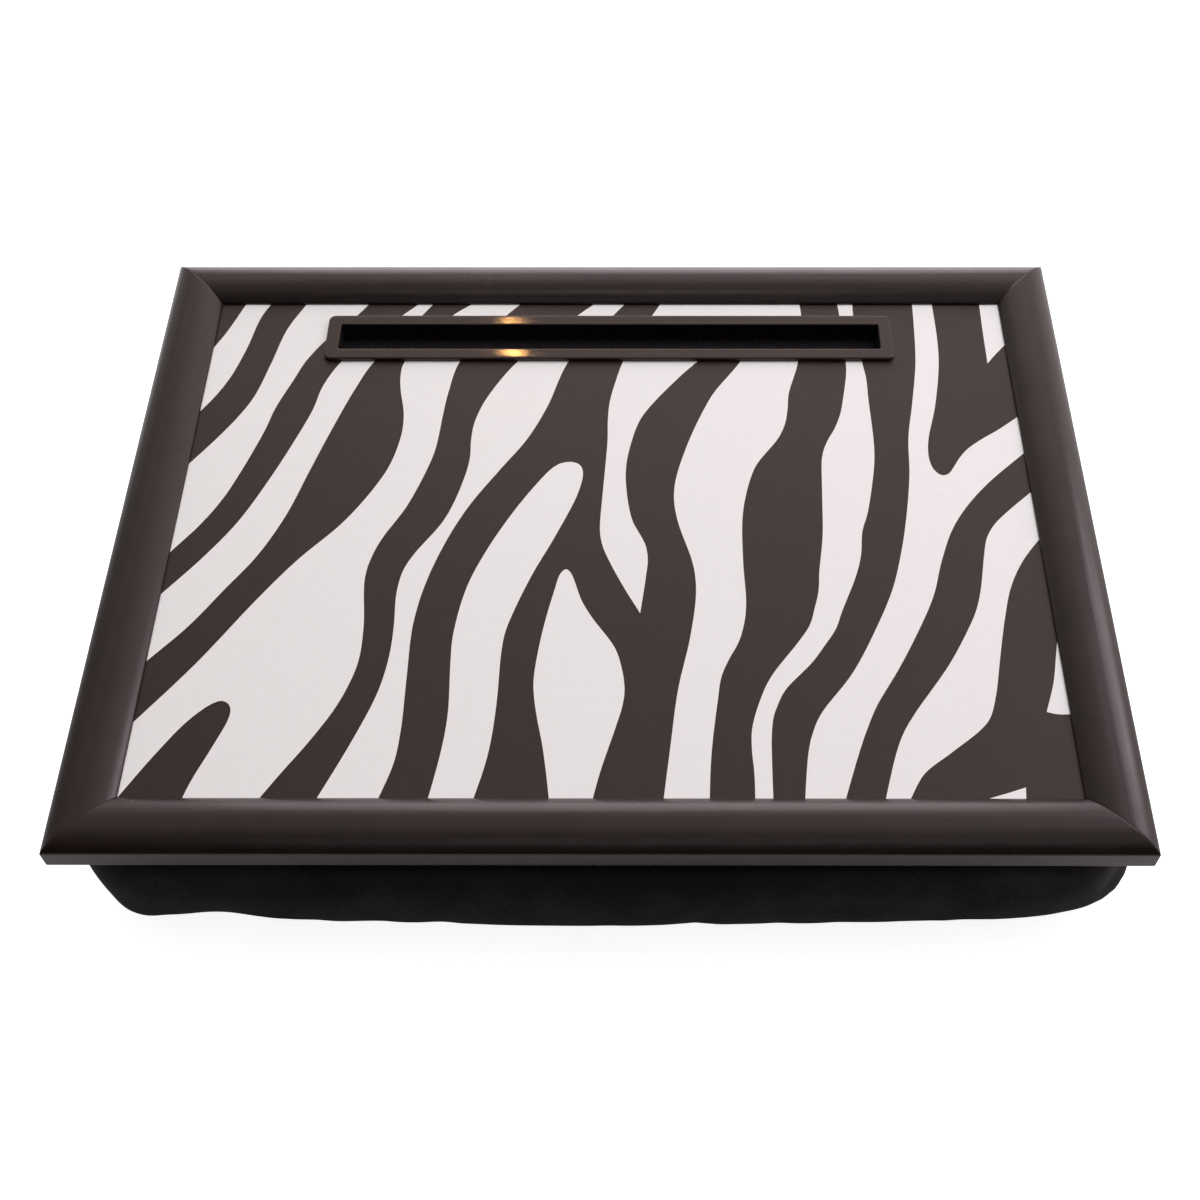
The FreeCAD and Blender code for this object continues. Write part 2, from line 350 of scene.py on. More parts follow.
def eased_corner(before, corner, after, reach, count=4):
    """Rounds a corner with a short curve that starts `reach` away from it on both sides."""
    before, corner, after = (np.array(p, float) for p in (before, corner, after))
    start = corner + (before - corner) / np.linalg.norm(before - corner) * reach
    end = corner + (after - corner) / np.linalg.norm(after - corner) * reach
    shares = [i / count for i in range(count + 1)]
    return [tuple(start * (1 - t) ** 2 + corner * 2 * t * (1 - t) + end * t ** 2) for t in shares]


def moulding_section():
    """Closed section of the moulding, from the outer lower edge up over the dome and back under."""
    outer_dome = level_arc(crest_insets[0], 0.0, side_face_height, outer_steps)[::-1]
    inner_dome = level_arc(crest_insets[1], moulding_width, inner_edge_height, inner_steps)
    inner_edge = (moulding_width, inner_edge_height)
    lip = (moulding_width, rabbet_height)
    rabbet = (rabbet_inset, rabbet_height)
    points = eased_corner((1, 0), (0, 0), (0, 1), foot_round, 3)
    points += [(0, foot_support), (0, side_face_height - edge_round - edge_support)]
    points += eased_corner((0, 0), (0, side_face_height), outer_dome[1], edge_round)
    points += outer_dome[1:] + inner_dome[:-1]
    points += eased_corner(inner_dome[-2], inner_edge, lip, inner_round)
    points += eased_corner(inner_edge, lip, rabbet, lip_round, 2)
    points += [rabbet]
    points += eased_corner(rabbet, (rabbet_inset, 0), (0, 0), rabbet_round, 2)
    return points


section = moulding_section()
print("moulding section has", len(section), "points")

# %% Helpers that make an object from points and faces


def ring_faces(levels, count, start=0):
    """Four-sided faces between rings of points that lie one after the other."""
    faces = []
    for level in range(levels - 1):
        a = start + level * count
        b = a + count
        faces += [(a + i, a + (i + 1) % count, b + (i + 1) % count, b + i) for i in range(count)]
    return faces


def new_piece(name, points, faces, materials, face_materials=None, smooth_angle=35):
    """Mesh object from points in millimetres, smooth but for edges sharper than an angle in degrees."""
    mesh = bpy.data.meshes.new(name)
    mesh.from_pydata([Vector(p) * MM for p in points], [], faces)
    for material in materials:
        mesh.materials.append(material)
    if face_materials is not None:
        mesh.polygons.foreach_set("material_index", face_materials)
    mesh.shade_smooth()
    mesh.set_sharp_from_angle(angle=math.radians(smooth_angle))
    piece = bpy.data.objects.new(name, mesh)
    scene.collection.objects.link(piece)
    return piece


def carry(piece, body, slot, *replaced):
    """Piece rides on a body and stands for CAD nodes, which it hides; the slot argument is not used."""
    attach(piece, body)
    if replaced:
        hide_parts(*replaced)
    print(f"{piece.name}: {len(piece.data.polygons)} faces on {body}")


print("piece helpers ready")

# %% The four rails
mitre_ease = 0.12
mitre_steps = (0.3, 0.8)


def section_lengths():
    """Distance along the section's outline at each of its points."""
    steps = [math.dist(a, b) for a, b in zip(section, section[1:])]
    return [sum(steps[:i]) for i in range(len(section))]


def make_rail(side, turns, length, span):
    """One mitred rail, laid out as the front rail and turned by quarter turns to its side."""
    centre = np.mean(section, axis=0)
    drawn_in = [tuple(np.array(p) + (centre - p) / np.linalg.norm(centre - p) * mitre_ease) for p in section]
    half = [(0.0, drawn_in)] + [(step, section) for step in mitre_steps]
    stations = [(-1, *station) for station in half] + [(1, *station) for station in half[::-1]]
    angle = math.pi / 2 * turns
    points, map_points = [], []
    for end, back, outline in stations:
        for (inset, height), across in zip(outline, section_lengths()):
            x = end * (length / 2 - inset - back)
            y = -span / 2 + inset
            turned_x = x * math.cos(angle) - y * math.sin(angle)
            turned_y = x * math.sin(angle) + y * math.cos(angle)
            points.append((turned_x, turned_y, frame_underside + height))
            map_points.append((x * MM, across * MM))
    count = len(section)
    faces = ring_faces(len(stations), count)
    faces.append(tuple(range(count))[::-1])
    faces.append(tuple(range(len(points) - count, len(points))))
    faces = [face[::-1] for face in faces]
    rail = new_piece(f"moulding_{side}", points, faces, [moulding_foil])
    layer = rail.data.uv_layers.new(name="along_rail")
    for loop in rail.data.loops:
        layer.data[loop.index].uv = map_points[loop.vertex_index]
    carry(rail, "tray", "moulding", f"{side}_rail")


sides = {
    "front": (0, 2 * tray_half_x, 2 * tray_half_y),
    "right": (1, 2 * tray_half_y, 2 * tray_half_x),
    "back": (2, 2 * tray_half_x, 2 * tray_half_y),
    "left": (3, 2 * tray_half_y, 2 * tray_half_x),
}
for side, (turns, length, span) in sides.items():
    make_rail(side, turns, length, span)

# %% [markdown]
# ## The printed board
# The board is thin fibreboard with a zebra stripe printed on its face. The stripe could be painted with a
# noise texture, but a noise never gives the long forked bands of the real print. Here each white band is
# an outline of a few points joined by smooth curves. A Delaunay triangulation cuts the board along all
# outlines at once, and each triangle is white or black by the outline it lies in, so the print stays
# sharp at any distance.

# %% Outlines of the white bands, as runs of points on the board
white_bands = [
    [
        [(-180, 149), (-186, 131), (-190, 120), (-194, 111), (-204, 89)],
        [(-206, 49), (-194, 69), (-188.5, 78.5), (-183.5, 90), (-180, 102), (-177.5, 113), (-174, 131),
         (-166, 149)],
    ],
    [
        [(-149, 149), (-152.5, 140), (-160, 122.5), (-165, 99), (-170, 78), (-175, 66.5), (-183.5, 52),
         (-206, 19)],
        [(-206, -32), (-194, -15), (-183.5, 0), (-176, 14), (-170, 30), (-162, 56.5), (-159, 70),
         (-152, 90), (-148.5, 100), (-140, 115), (-127, 131), (-121, 140), (-114, 150)],
    ],
    [
        [(-91, 145), (-96, 140), (-104.5, 131), (-119, 114), (-131, 100), (-138, 84), (-141, 69),
         (-148, 47.5), (-156, 26), (-167, 1), (-180, -19.5), (-194, -38), (-206, -54)],
        [(-206, -88), (-194, -73), (-180, -56), (-167, -36), (-155.5, -18), (-145.5, 5), (-138, 31),
         (-131, 55), (-122, 83), (-115, 100), (-104, 115), (-94.4, 131), (-88.8, 140), (-85.7, 145)],
    ],
    [
        [(-59, 149), (-69.3, 140), (-79.5, 131), (-91, 114), (-100, 100), (-101, 90), (-100, 81),
         (-97.5, 68), (-97, 58), (-98, 48), (-101.5, 33.5), (-109.5, 16.5), (-120, 0), (-137, -20),
         (-151.5, -40.5), (-173.5, -75), (-194, -103), (-206, -119)],
        [(-206, -150)],
        [(-144, -150), (-131, -129), (-120, -112), (-111, -95.5), (-105.5, -79.5), (-104, -70), (-104, -55),
         (-106, -29), (-103.5, -16), (-100, -7), (-91, 10.5), (-83, 34), (-80.5, 45), (-78.5, 67),
         (-77, 80.5), (-73, 100), (-64, 113), (-52.4, 131), (-44.8, 140), (-37.2, 149)],
    ],
    [
        [(1.2, 149), (-7.9, 140), (-17, 131), (-31, 115), (-45, 100), (-56.5, 80.5), (-61, 69.5),
         (-63.5, 59.5), (-64.2, 49.5), (-64, 40.5), (-65, 31.5), (-70, 11.5), (-74.5, 0.5), (-85.5, -17),
         (-89.5, -26), (-91.3, -38), (-90.9, -55), (-91.1, -66), (-92.2, -77), (-95, -90.5), (-103.5, -114),
         (-119, -150)],
        [(-93, -150), (-89.6, -139.5), (-84.8, -123), (-83.3, -108), (-83.1, -82), (-82.7, -55), (-79, -33),
         (-71.6, -9.5), (-62.7, 10.5), (-50, 31.5), (-38, 50.5), (-29.3, 70.5), (-20, 100), (-10, 115),
         (1, 131), (14, 149)],
    ],
    [
        [(-72, -150), (-69.6, -139.5), (-65.6, -115), (-64.4, -99.5), (-65.1, -73), (-64.9, -59.5),
         (-60.7, -35), (-53.3, -15), (-41.8, 8), (-30.7, 26), (-25.6, 32.8), (-21.6, 35.9), (-17.3, 36.8),
         (-13.8, 35.9), (-11.6, 33.2), (-11.1, 28.3), (-12.2, 21.7), (-14.4, 14), (-23.3, -8), (-32.2, -28),
         (-40, -49.5), (-42.7, -59.5), (-43.8, -70.5), (-44.4, -95), (-46.7, -119.5), (-54, -150)],
    ],
    [
        [(-20, -150), (-20.9, -139.5), (-24.4, -115), (-27.1, -102), (-28.9, -90.5), (-29.3, -82),
         (-26.7, -59.5), (-22.2, -37), (-19.6, -27.2), (-17.3, -25), (-15.2, -27), (-10, -42), (-5.6, -50.5),
         (4.9, -67), (7.8, -77), (9.1, -87), (8.4, -95), (5.6, -106), (-0.7, -128), (-5.5, -150)],
    ],
    [
        [(30, 149), (20.7, 131), (13, 115), (6.7, 100), (3.3, 87), (0.7, 74), (0, 63), (0, 49.5),
         (-1.6, 20.5), (-2.7, -1.5), (-2.2, -8), (-0.4, -15), (6.7, -31.5), (15.6, -48.8)],
        [(15.6, -48.8), (18.2, -28), (18.9, -19.5), (17.8, -11.5), (12.2, 1.5), (10.4, 9.5), (9.1, 20.5),
         (8.7, 29.5), (9.6, 40.5), (14.4, 60.5), (18.9, 69.5), (34.4, 90.5), (42.7, 100), (61, 119),
         (67, 123), (71, 121), (71, 115), (63.8, 100), (51, 80.5), (46.2, 70.5), (38.2, 49.5), (32, 27),
         (30.9, 16), (31.6, 7), (33.3, -1.5), (38.4, -19.5), (39.8, -28), (40, -39.5), (37.1, -61.5),
         (31.6, -88), (28.2, -115), (24, -150)],
        [(43.3, -150), (44.9, -119.5), (48.2, -93), (50, -81.5), (53.3, -73), (57.8, -64), (60.4, -55),
         (61.8, -44), (61.3, -19.5), (62.2, 7), (66.7, 28), (70, 36), (80.4, 51.5), (84, 60.5), (85.6, 69.5),
         (86.7, 79.5), (92.2, 100), (95.6, 131), (94, 149)],
    ],
    [
        [(113.5, 149), (114.7, 131), (115.6, 100), (115.1, 91.5), (112.9, 78), (110.7, 67), (107.1, 57),
         (103.3, 49.5), (100.4, 40.5), (98.9, 18), (97.6, -6), (94.9, -26), (93.8, -37), (91.6, -46),
         (88.9, -55), (83.3, -64), (72.2, -79.5), (67.8, -88), (62.2, -106), (61.6, -117), (62.2, -128),
         (61.8, -150)],
        [(69.2, -150), (69.6, -121.5), (70, -110.5), (71.1, -101.5), (73.3, -95), (76.7, -88), (88.9, -74),
         (94.4, -66), (100, -57), (103.3, -48), (111.1, -28), (114, -17), (115.6, -4), (118.9, 7),
         (123.3, 29.5), (124.7, 40.5), (125.1, 51.5), (124.7, 76), (124.7, 89.5), (123.6, 100), (121.6, 131),
         (122, 149)],
    ],
    [
        [(152, 149), (151.1, 123), (149.6, 100), (145.6, 74), (141.6, 51.5), (140, 29.5), (136.7, 7),
         (132.7, -13), (126.7, -35), (117.8, -56), (105.6, -79.5), (91.1, -99.5), (87.3, -108), (84.9, -117),
         (81, -150)],
        [(95, -150), (106.2, -116), (110, -106), (114.4, -96), (125.6, -77), (135.6, -58), (144, -39.5),
         (149.6, -20.5), (156.2, -3), (164.4, 10.5), (175.6, 24), (194.7, 42.3), (206, 53)],
        [(206, 74), (184.4, 56.6), (175.6, 50.5), (168.9, 45), (164.4, 39.5), (160.4, 32.8), (158.2, 29.8),
         (155.1, 28.8), (152.2, 31.2), (150.4, 36), (150, 43), (151.1, 51.5), (156.2, 71.5), (160.7, 98),
         (161.8, 115), (161.5, 149)],
    ],
    [
        [(185.7, 149), (185, 123), (184.7, 99.3)],
        [(184.7, 99.3), (189, 105), (206, 125)],
        [(206, 149)],
    ],
    [
        [(206, 28), (194.7, 18.8), (180, 5), (175.1, -0.6), (171.1, -8), (168.9, -17), (165.1, -36),
         (162.2, -46), (158.2, -55), (147.1, -75), (130, -99.5), (124.9, -108), (121.1, -117),
         (111.5, -150)],
        [(118.5, -150), (124.4, -139.5), (131.1, -128), (143.3, -118), (156.7, -107), (161.1, -101.5),
         (164.9, -90.5), (169.3, -70.5), (173.3, -53), (178.4, -35), (185.6, -20.5), (194.7, -8.3),
         (206, 5)],
    ],
    [
        [(197, -52), (193, -70.5), (190, -84), (185, -98.5)],
        [(185, -98.5), (190, -99.7), (206, -98.5)],
        [(206, -52)],
    ],
    [
        [(143, -144), (154, -139.8), (164.5, -136.4), (171.5, -134)],
        [(169.8, -150)],
        [(143, -150)],
    ],
]
black_fingers = [
    [
        [(-201, -150), (-194, -138), (-183.5, -120), (-172, -103), (-163.3, -94.8), (-159.4, -93.4),
         (-156.4, -95), (-155.1, -98.3), (-155.6, -103), (-160.6, -117), (-166.7, -133), (-171, -150)],
    ],
]
print(len(white_bands), "white bands and", len(black_fingers), "black finger")

# %% Smooth outlines from the runs
curve_step = 2.0
shortest_step = 0.01


def smooth_run(points):
    """Points along a smooth curve that passes through every point of a run."""
    if len(points) < 3:
        return list(points)
    before = 2 * np.array(points[0]) - points[1]
    after = 2 * np.array(points[-1]) - points[-2]
    given = np.array([before, *points, after], float)
    knots = np.concatenate([[0], np.cumsum(np.sqrt(np.linalg.norm(np.diff(given, axis=0), axis=1)))])
    line = []
    for i in range(1, len(given) - 2):
        count = max(2, round(np.linalg.norm(given[i + 1] - given[i]) / curve_step))
        p, k = given[i - 1:i + 3], knots[i - 1:i + 3]
        for t in np.linspace(k[1], k[2], count, endpoint=False):
            a = [((k[n + 1] - t) * p[n] + (t - k[n]) * p[n + 1]) / (k[n + 1] - k[n]) for n in range(3)]
            b = [((k[n + 2] - t) * a[n] + (t - k[n]) * a[n + 1]) / (k[n + 2] - k[n]) for n in range(2)]
            line.append(tuple(((k[2] - t) * b[0] + (t - k[1]) * b[1]) / (k[2] - k[1])))
    return line + [tuple(points[-1])]


def closed_outline(runs):
    """One closed outline, anticlockwise, from runs that meet in corners."""
    line = []
    for run in runs:
        for point in smooth_run(run):
            if not line or math.dist(point, line[-1]) > shortest_step:
                line.append(point)
    area = sum(a[0] * b[1] - b[0] * a[1] for a, b in zip(line, line[1:] + line[:1]))
    return line if area > 0 else line[::-1]


white_outlines = [closed_outline(band) for band in white_bands]
black_outlines = [closed_outline(finger) for finger in black_fingers]
print("outline points:", sum(map(len, white_outlines + black_outlines)))

# %% [markdown]
# ## Finish of the board: print, film and fibreboard
# The face is printed paper under a satin film, so white and black share one gloss and only differ in
# colour. The film lies over the board's fibres and is not quite flat, which a very low bump shows. The
# edges and the back are bare brown fibreboard, with one smooth pressed face and fine fibres in it.

# %% Print and board materials


def new_print(name, color, depth):
    """Printed paper under satin film."""
    material, tree, shader, place = new_finish(
        name, color, gloss=(0.4, 0.48), mottling=(220.0, depth), patch_scale=60.0, specular=0.42)
    film = add_noise(tree, place, scale=900.0, detail=2.0)
    add_bump(tree, shader, film, distance=0.00002, strength=0.35)
    return material


print_white = new_print("print_white", (0.835, 0.84, 0.84), depth=0.012)
print_black = new_print("print_black", (0.0222, 0.0122, 0.0107), depth=0.1)
fibre_stretch = (300.0, 1800.0, 900.0)
fibre_turn = (0.3, 0.2, 0.6)
fibreboard, tree, shader, place = new_finish(
    "bare_fibreboard", color=(0.19, 0.105, 0.055), gloss=(0.6, 0.8), mottling=(350.0, 0.3))
fibre_map = add_node(tree, "ShaderNodeMapping", {"Scale": fibre_stretch, "Rotation": fibre_turn})
join(tree, place, fibre_map.inputs["Vector"])
fibres = add_noise(tree, fibre_map.outputs[0], scale=1.0, detail=6.0)
add_bump(tree, shader, fibres, distance=0.0001, strength=0.7)
print("made", print_white.name, print_black.name, fibreboard.name)

# %% Board cut along the outlines
slot_half_x = 133.0
slot_half_y = 8.2
slot_centre_y = (well_low[1] + well_high[1]) / 2
opening_grow = 1.8
merge_distance = 1e-4
white_slot, black_slot, bare_slot = range(3)


def rectangle(low_x, high_x, low_y, high_y):
    """Corners of a rectangle, anticlockwise."""
    return [(low_x, low_y), (high_x, low_y), (high_x, high_y), (low_x, high_y)]


def make_board():
    """Closed board: printed face, bare edges and back, with the opening for the well."""
    board_edge = rectangle(panel_low[0], panel_high[0], panel_low[1], panel_high[1])
    half_x, half_y = slot_half_x + opening_grow, slot_half_y + opening_grow
    opening = rectangle(-half_x, half_x, slot_centre_y - half_y, slot_centre_y + half_y)
    loops = [board_edge, opening] + white_outlines + black_outlines
    points = [Vector(p) for loop in loops for p in loop]
    starts = np.cumsum([0] + [len(loop) for loop in loops])
    areas = [list(range(a, b)) for a, b in zip(starts, starts[1:])]
    inside_only = 1
    cut = geometry.delaunay_2d_cdt(points, [], areas, inside_only, merge_distance, True)
    flat, triangles, origins = cut[0], cut[2], cut[5]
    board_area, opening_area, first_white = 0, 1, 2
    first_black = first_white + len(white_outlines)
    kept, colours = [], []
    for triangle, origin in zip(triangles, origins):
        if board_area not in origin or opening_area in origin:
            continue
        in_white = any(first_white <= number < first_black for number in origin)
        in_black = any(number >= first_black for number in origin)
        kept.append(tuple(triangle))
        colours.append(white_slot if in_white and not in_black else black_slot)
    count = len(flat)
    corners = [(p.x, p.y, panel_top) for p in flat] + [(p.x, p.y, panel_underside) for p in flat]
    outer = {(a, b) for t in kept for a, b in zip(t, t[1:] + t[:1])}
    rim = [(a, b) for a, b in outer if (b, a) not in outer]
    faces = kept + [tuple(count + i for i in t[::-1]) for t in kept]
    faces += [(b, a, a + count, b + count) for a, b in sorted(rim)]
    finishes = colours + [bare_slot] * (len(kept) + len(rim))
    used = sorted({i for face in faces for i in face})
    number = {old: new for new, old in enumerate(used)}
    corners = [corners[i] for i in used]
    faces = [tuple(number[i] for i in face) for face in faces]
    board = new_piece("printed_board", corners, faces, [print_white, print_black, fibreboard], finishes)
    carry(board, "tray", "print", "printed_panel")


make_board()

# %% [markdown]
# ## Finish of the tablet well: moulded plastic
# The well is one black moulding. Its bezel is glossy with a very fine grain, which draws a lamp out into
# a small soft spot, and the slot is lined with dull black flock that keeps a tablet from rattling and
# hides its depth. The flock is without gloss, so the slot reads as a dark gap from any side.

# %% Bezel and slot materials
bezel_plastic, tree, shader, place = new_finish(
    "bezel_plastic", color=(0.030, 0.0192, 0.0158), gloss=(0.045, 0.06), mottling=(150.0, 0.1))
bezel_grain = add_noise(tree, place, scale=900.0, detail=2.0)
add_bump(tree, shader, bezel_grain, distance=0.00003, strength=0.35)
slot_flock, tree, shader, place = new_finish(
    "slot_flock", color=(0.022, 0.018, 0.02), gloss=(0.9, 1.0), mottling=(500.0, 0.4), specular=0.0)
flock_fibres = add_noise(tree, place, scale=4000.0, detail=2.0)
add_bump(tree, shader, flock_fibres, distance=0.0002, strength=0.8)
print("made", bezel_plastic.name, slot_flock.name)

# %% [markdown]
# ## Tablet well
# A rounded rectangle, repeated at different sizes and levels and joined from one to the next, makes the
# whole moulding in one go: up the trough, out under the flange, over its rounded edge, across the bezel
# and down into the slot. That is a loft, and it keeps the edge rounds fine without a bevel modifier.

# %% Loft of the well
trough_wall = 1.5
slot_floor = well_low[2] + trough_wall
flange_half_x = well_high[0]
flange_half_y = (well_high[1] - well_low[1]) / 2
flange_top = well_high[2]
trough_round, trough_corner = 0.4, 1.5
flange_foot, flange_round, flange_flat, flange_corner = 0.15, 0.8, 1.3, 3.5
mouth_reach, mouth_round, mouth_corner = 0.8, 0.5, 1.2
slot_support, slot_corner, floor_round = 1.2, 0.8, 0.5
smallest_corner = 0.3
flange_steps, mouth_steps, corner_steps = 5, 4, 7


def well_ring(half_x, half_y, radius, z):
    """Rounded rectangle about the slot's centre, anticlockwise."""
    points = []
    for corner, (side_x, side_y) in enumerate(((1, 1), (-1, 1), (-1, -1), (1, -1))):
        for i in range(corner_steps + 1):
            turn = math.pi / 2 * (corner + i / corner_steps)
            points.append((side_x * (half_x - radius) + radius * math.cos(turn),
                           slot_centre_y + side_y * (half_y - radius) + radius * math.sin(turn), z))
    return points


def well_rings():
    """Rings of the loft, and the number of the first one that lies in the slot."""
    trough = (slot_half_x + trough_wall, slot_half_y + trough_wall)
    flange = (flange_half_x, flange_half_y)
    slot = (slot_half_x, slot_half_y)
    plan = [(trough, trough_round, trough_corner, well_low[2])]
    plan += [(trough, 0, trough_corner, z) for z in (well_low[2] + trough_round, panel_top)]
    plan.append((flange, flange_foot, flange_corner, panel_top))
    plan.append((flange, 0, flange_corner, panel_top + flange_foot))
    for i in range(flange_steps + 1):
        turn = math.pi / 2 / flange_steps * i
        inset = flange_round - flange_round * math.cos(turn)
        plan.append((flange, inset, flange_corner, flange_top - flange_round + flange_round * math.sin(turn)))
    plan.append((flange, flange_flat, flange_corner, flange_top))
    plan.append((slot, -mouth_reach, mouth_corner, flange_top))
    for i in range(mouth_steps + 1):
        turn = math.pi / 2 / mouth_steps * i
        inset = -mouth_round + mouth_round * math.sin(turn)
        plan.append((slot, inset, slot_corner, flange_top - mouth_round + mouth_round * math.cos(turn)))
    first_inside = len(plan) - 1
    plan += [(slot, 0, slot_corner, z) for z in (flange_top - slot_support, slot_floor + floor_round)]
    plan.append((slot, floor_round, floor_round, slot_floor))
    rings = [well_ring(x - inset, y - inset, max(radius - inset, smallest_corner), z)
             for (x, y), inset, radius, z in plan]
    return rings, first_inside


def make_well():
    """The whole moulding without its barbs."""
    rings, first_inside = well_rings()
    count = len(rings[0])
    points = [p for ring in rings for p in ring]
    faces = [tuple(range(count))[::-1]] + ring_faces(len(rings), count)
    finishes = [0] + [int(level >= first_inside) for level in range(len(rings) - 1) for _ in range(count)]
    faces.append(tuple(range(len(points) - count, len(points))))
    finishes.append(1)
    return new_piece("tablet_bezel", points, faces, [bezel_plastic, slot_flock], finishes)


well = make_well()
carry(well, "tray", "bezel_plastic", "tablet_well")

# %% [markdown]
# ## Copies along rows: a Geometry Nodes helper
# Barbs, hooks, loops and stitches are all one small shape copied many times. Geometry Nodes is made for
# that: a tree takes points, puts a copy on each, turns it a little at random with a fixed seed, and makes
# the copies real. Three helpers serve them all. One sweeps a small template along a path, one builds the
# tree, one runs it.

# %% Helpers for copies
ROTATION_SPREAD = "Turn spread"
densest_points = 2.0e6


def sweep_template(name, path, half_width, facets):
    """Small closed bar that follows a path in the XZ plane, as an object that only serves as a template."""
    path = [np.array(p, float) for p in path]
    points = []
    for i, place in enumerate(path):
        run = path[min(i + 1, len(path) - 1)] - path[max(i - 1, 0)]
        run = run / np.linalg.norm(run)
        across = np.array((-run[1], run[0]))
        for n in range(facets):
            turn = 2 * math.pi * (n + 0.5) / facets
            flat = place + across * half_width * math.cos(turn)
            points.append((flat[0], half_width * math.sin(turn), flat[1]))
    faces = ring_faces(len(path), facets)
    faces += [tuple(range(facets))[::-1], tuple(range(len(points) - facets, len(points)))]
    return new_piece(name, points, faces, [], smooth_angle=60)


def copies_tree(name, scatter=False, along=False):
    """Tree that puts a template on points: on vertices, scattered on faces, or evenly along a curve."""
    tree, inlet, outlet = new_group(
        name,
        [("Geometry", "NodeSocketGeometry", None), ("Template", "NodeSocketObject", None),
         ("Material", "NodeSocketMaterial", None), ("Spacing", FLOAT, 0.002), ("Turn", VECTOR, None),
         (ROTATION_SPREAD, VECTOR, None), ("Size spread", FLOAT, 0.1), ("Seed", "NodeSocketInt", 1)],
        [("Geometry", "NodeSocketGeometry")], "GeometryNodeTree")
    template = add_node(tree, "GeometryNodeObjectInfo")
    join(tree, inlet.outputs["Template"], template.inputs["Object"])
    copies = add_node(tree, "GeometryNodeInstanceOnPoints")
    join(tree, template.outputs["Geometry"], copies.inputs["Instance"])
    turn = add_node(tree, "FunctionNodeRandomValue", data_type="FLOAT_VECTOR")
    low = add_node(tree, "ShaderNodeVectorMath", operation="SUBTRACT")
    high = add_node(tree, "ShaderNodeVectorMath", operation="ADD")
    for node in (low, high):
        join(tree, inlet.outputs["Turn"], node.inputs[0])
        join(tree, inlet.outputs[ROTATION_SPREAD], node.inputs[1])
    join(tree, low.outputs[0], turn.inputs[0])
    join(tree, high.outputs[0], turn.inputs[1])
    join(tree, inlet.outputs["Seed"], turn.inputs["Seed"])
    size = add_node(tree, "FunctionNodeRandomValue", data_type="FLOAT")
    join(tree, maths(tree, "SUBTRACT", 1.0, inlet.outputs["Size spread"]), size.inputs[2])
    join(tree, maths(tree, "ADD", 1.0, inlet.outputs["Size spread"]), size.inputs[3])
    join(tree, inlet.outputs["Seed"], size.inputs["Seed"])
    join(tree, size.outputs[1], copies.inputs["Scale"])
    if scatter:
        spread = add_node(tree, "GeometryNodeDistributePointsOnFaces", distribute_method="POISSON")
        join(tree, inlet.outputs["Geometry"], spread.inputs["Mesh"])
        join(tree, inlet.outputs["Spacing"], spread.inputs["Distance Min"])
        spread.inputs["Density Max"].default_value = densest_points
        join(tree, inlet.outputs["Seed"], spread.inputs["Seed"])
        join(tree, spread.outputs["Points"], copies.inputs["Points"])
        join(tree, turn.outputs[0], copies.inputs["Rotation"])
    elif along:
        even = add_node(tree, "GeometryNodeResampleCurve", mode="LENGTH")
        join(tree, inlet.outputs["Geometry"], even.inputs["Curve"])
        join(tree, inlet.outputs["Spacing"], even.inputs["Length"])
        join(tree, even.outputs[0], copies.inputs["Points"])
        tangent = add_node(tree, "GeometryNodeInputTangent")
        aligned = add_node(tree, "FunctionNodeAlignRotationToVector", axis="X")
        join(tree, turn.outputs[0], aligned.inputs["Rotation"])
        join(tree, tangent.outputs[0], aligned.inputs["Vector"])
        join(tree, aligned.outputs[0], copies.inputs["Rotation"])
    else:
        dots = add_node(tree, "GeometryNodeMeshToPoints")
        join(tree, inlet.outputs["Geometry"], dots.inputs["Mesh"])
        join(tree, dots.outputs[0], copies.inputs["Points"])
        join(tree, turn.outputs[0], copies.inputs["Rotation"])
    real = add_node(tree, "GeometryNodeRealizeInstances")
    painted = add_node(tree, "GeometryNodeSetMaterial")
    join(tree, copies.outputs[0], real.inputs[0])
    join(tree, real.outputs[0], painted.inputs["Geometry"])
    join(tree, inlet.outputs["Material"], painted.inputs["Material"])
    join(tree, painted.outputs[0], outlet.inputs["Geometry"])
    return tree


def run_copies(name, base, tree, values):
    """Plain mesh object that a tree makes on a base object; the base and the template are removed."""
    modifier = base.modifiers.new(tree.name, "NODES")
    modifier.node_group = tree
    for item in tree.interface.items_tree:
        if item.in_out == "INPUT" and item.name in values:
            modifier[item.identifier] = values[item.name]
    seen = base.evaluated_get(bpy.context.evaluated_depsgraph_get())
    mesh = bpy.data.meshes.new_from_object(seen)
    mesh.name = name
    if not mesh.materials:
        mesh.materials.append(values["Material"])
    base.modifiers.remove(modifier)
    for helper in (base, values["Template"]):
        bpy.data.objects.remove(helper)
    piece = bpy.data.objects.new(name, mesh)
    scene.collection.objects.link(piece)
    return piece


row_copies = copies_tree("copies_on_points")
scattered_copies = copies_tree("copies_on_faces", scatter=True)
seam_copies = copies_tree("copies_along_seam", along=True)
print("trees:", row_copies.name, scattered_copies.name, seam_copies.name)

# %% [markdown]
# ## Snap barbs
# Under the board, four wedges on each long wall of the trough spring out and hold the well in place. They
# face two ways, so the same wedge is copied on two rows of points, and the second row is turned by half a
# turn.

# %% Barbs on both walls of the trough
barb_length = 14.0
barb_height = 3.0
barb_reach = 1.3
barb_root = 0.75
barb_tip = (0.02, 0.35)
barbs_per_side = 4


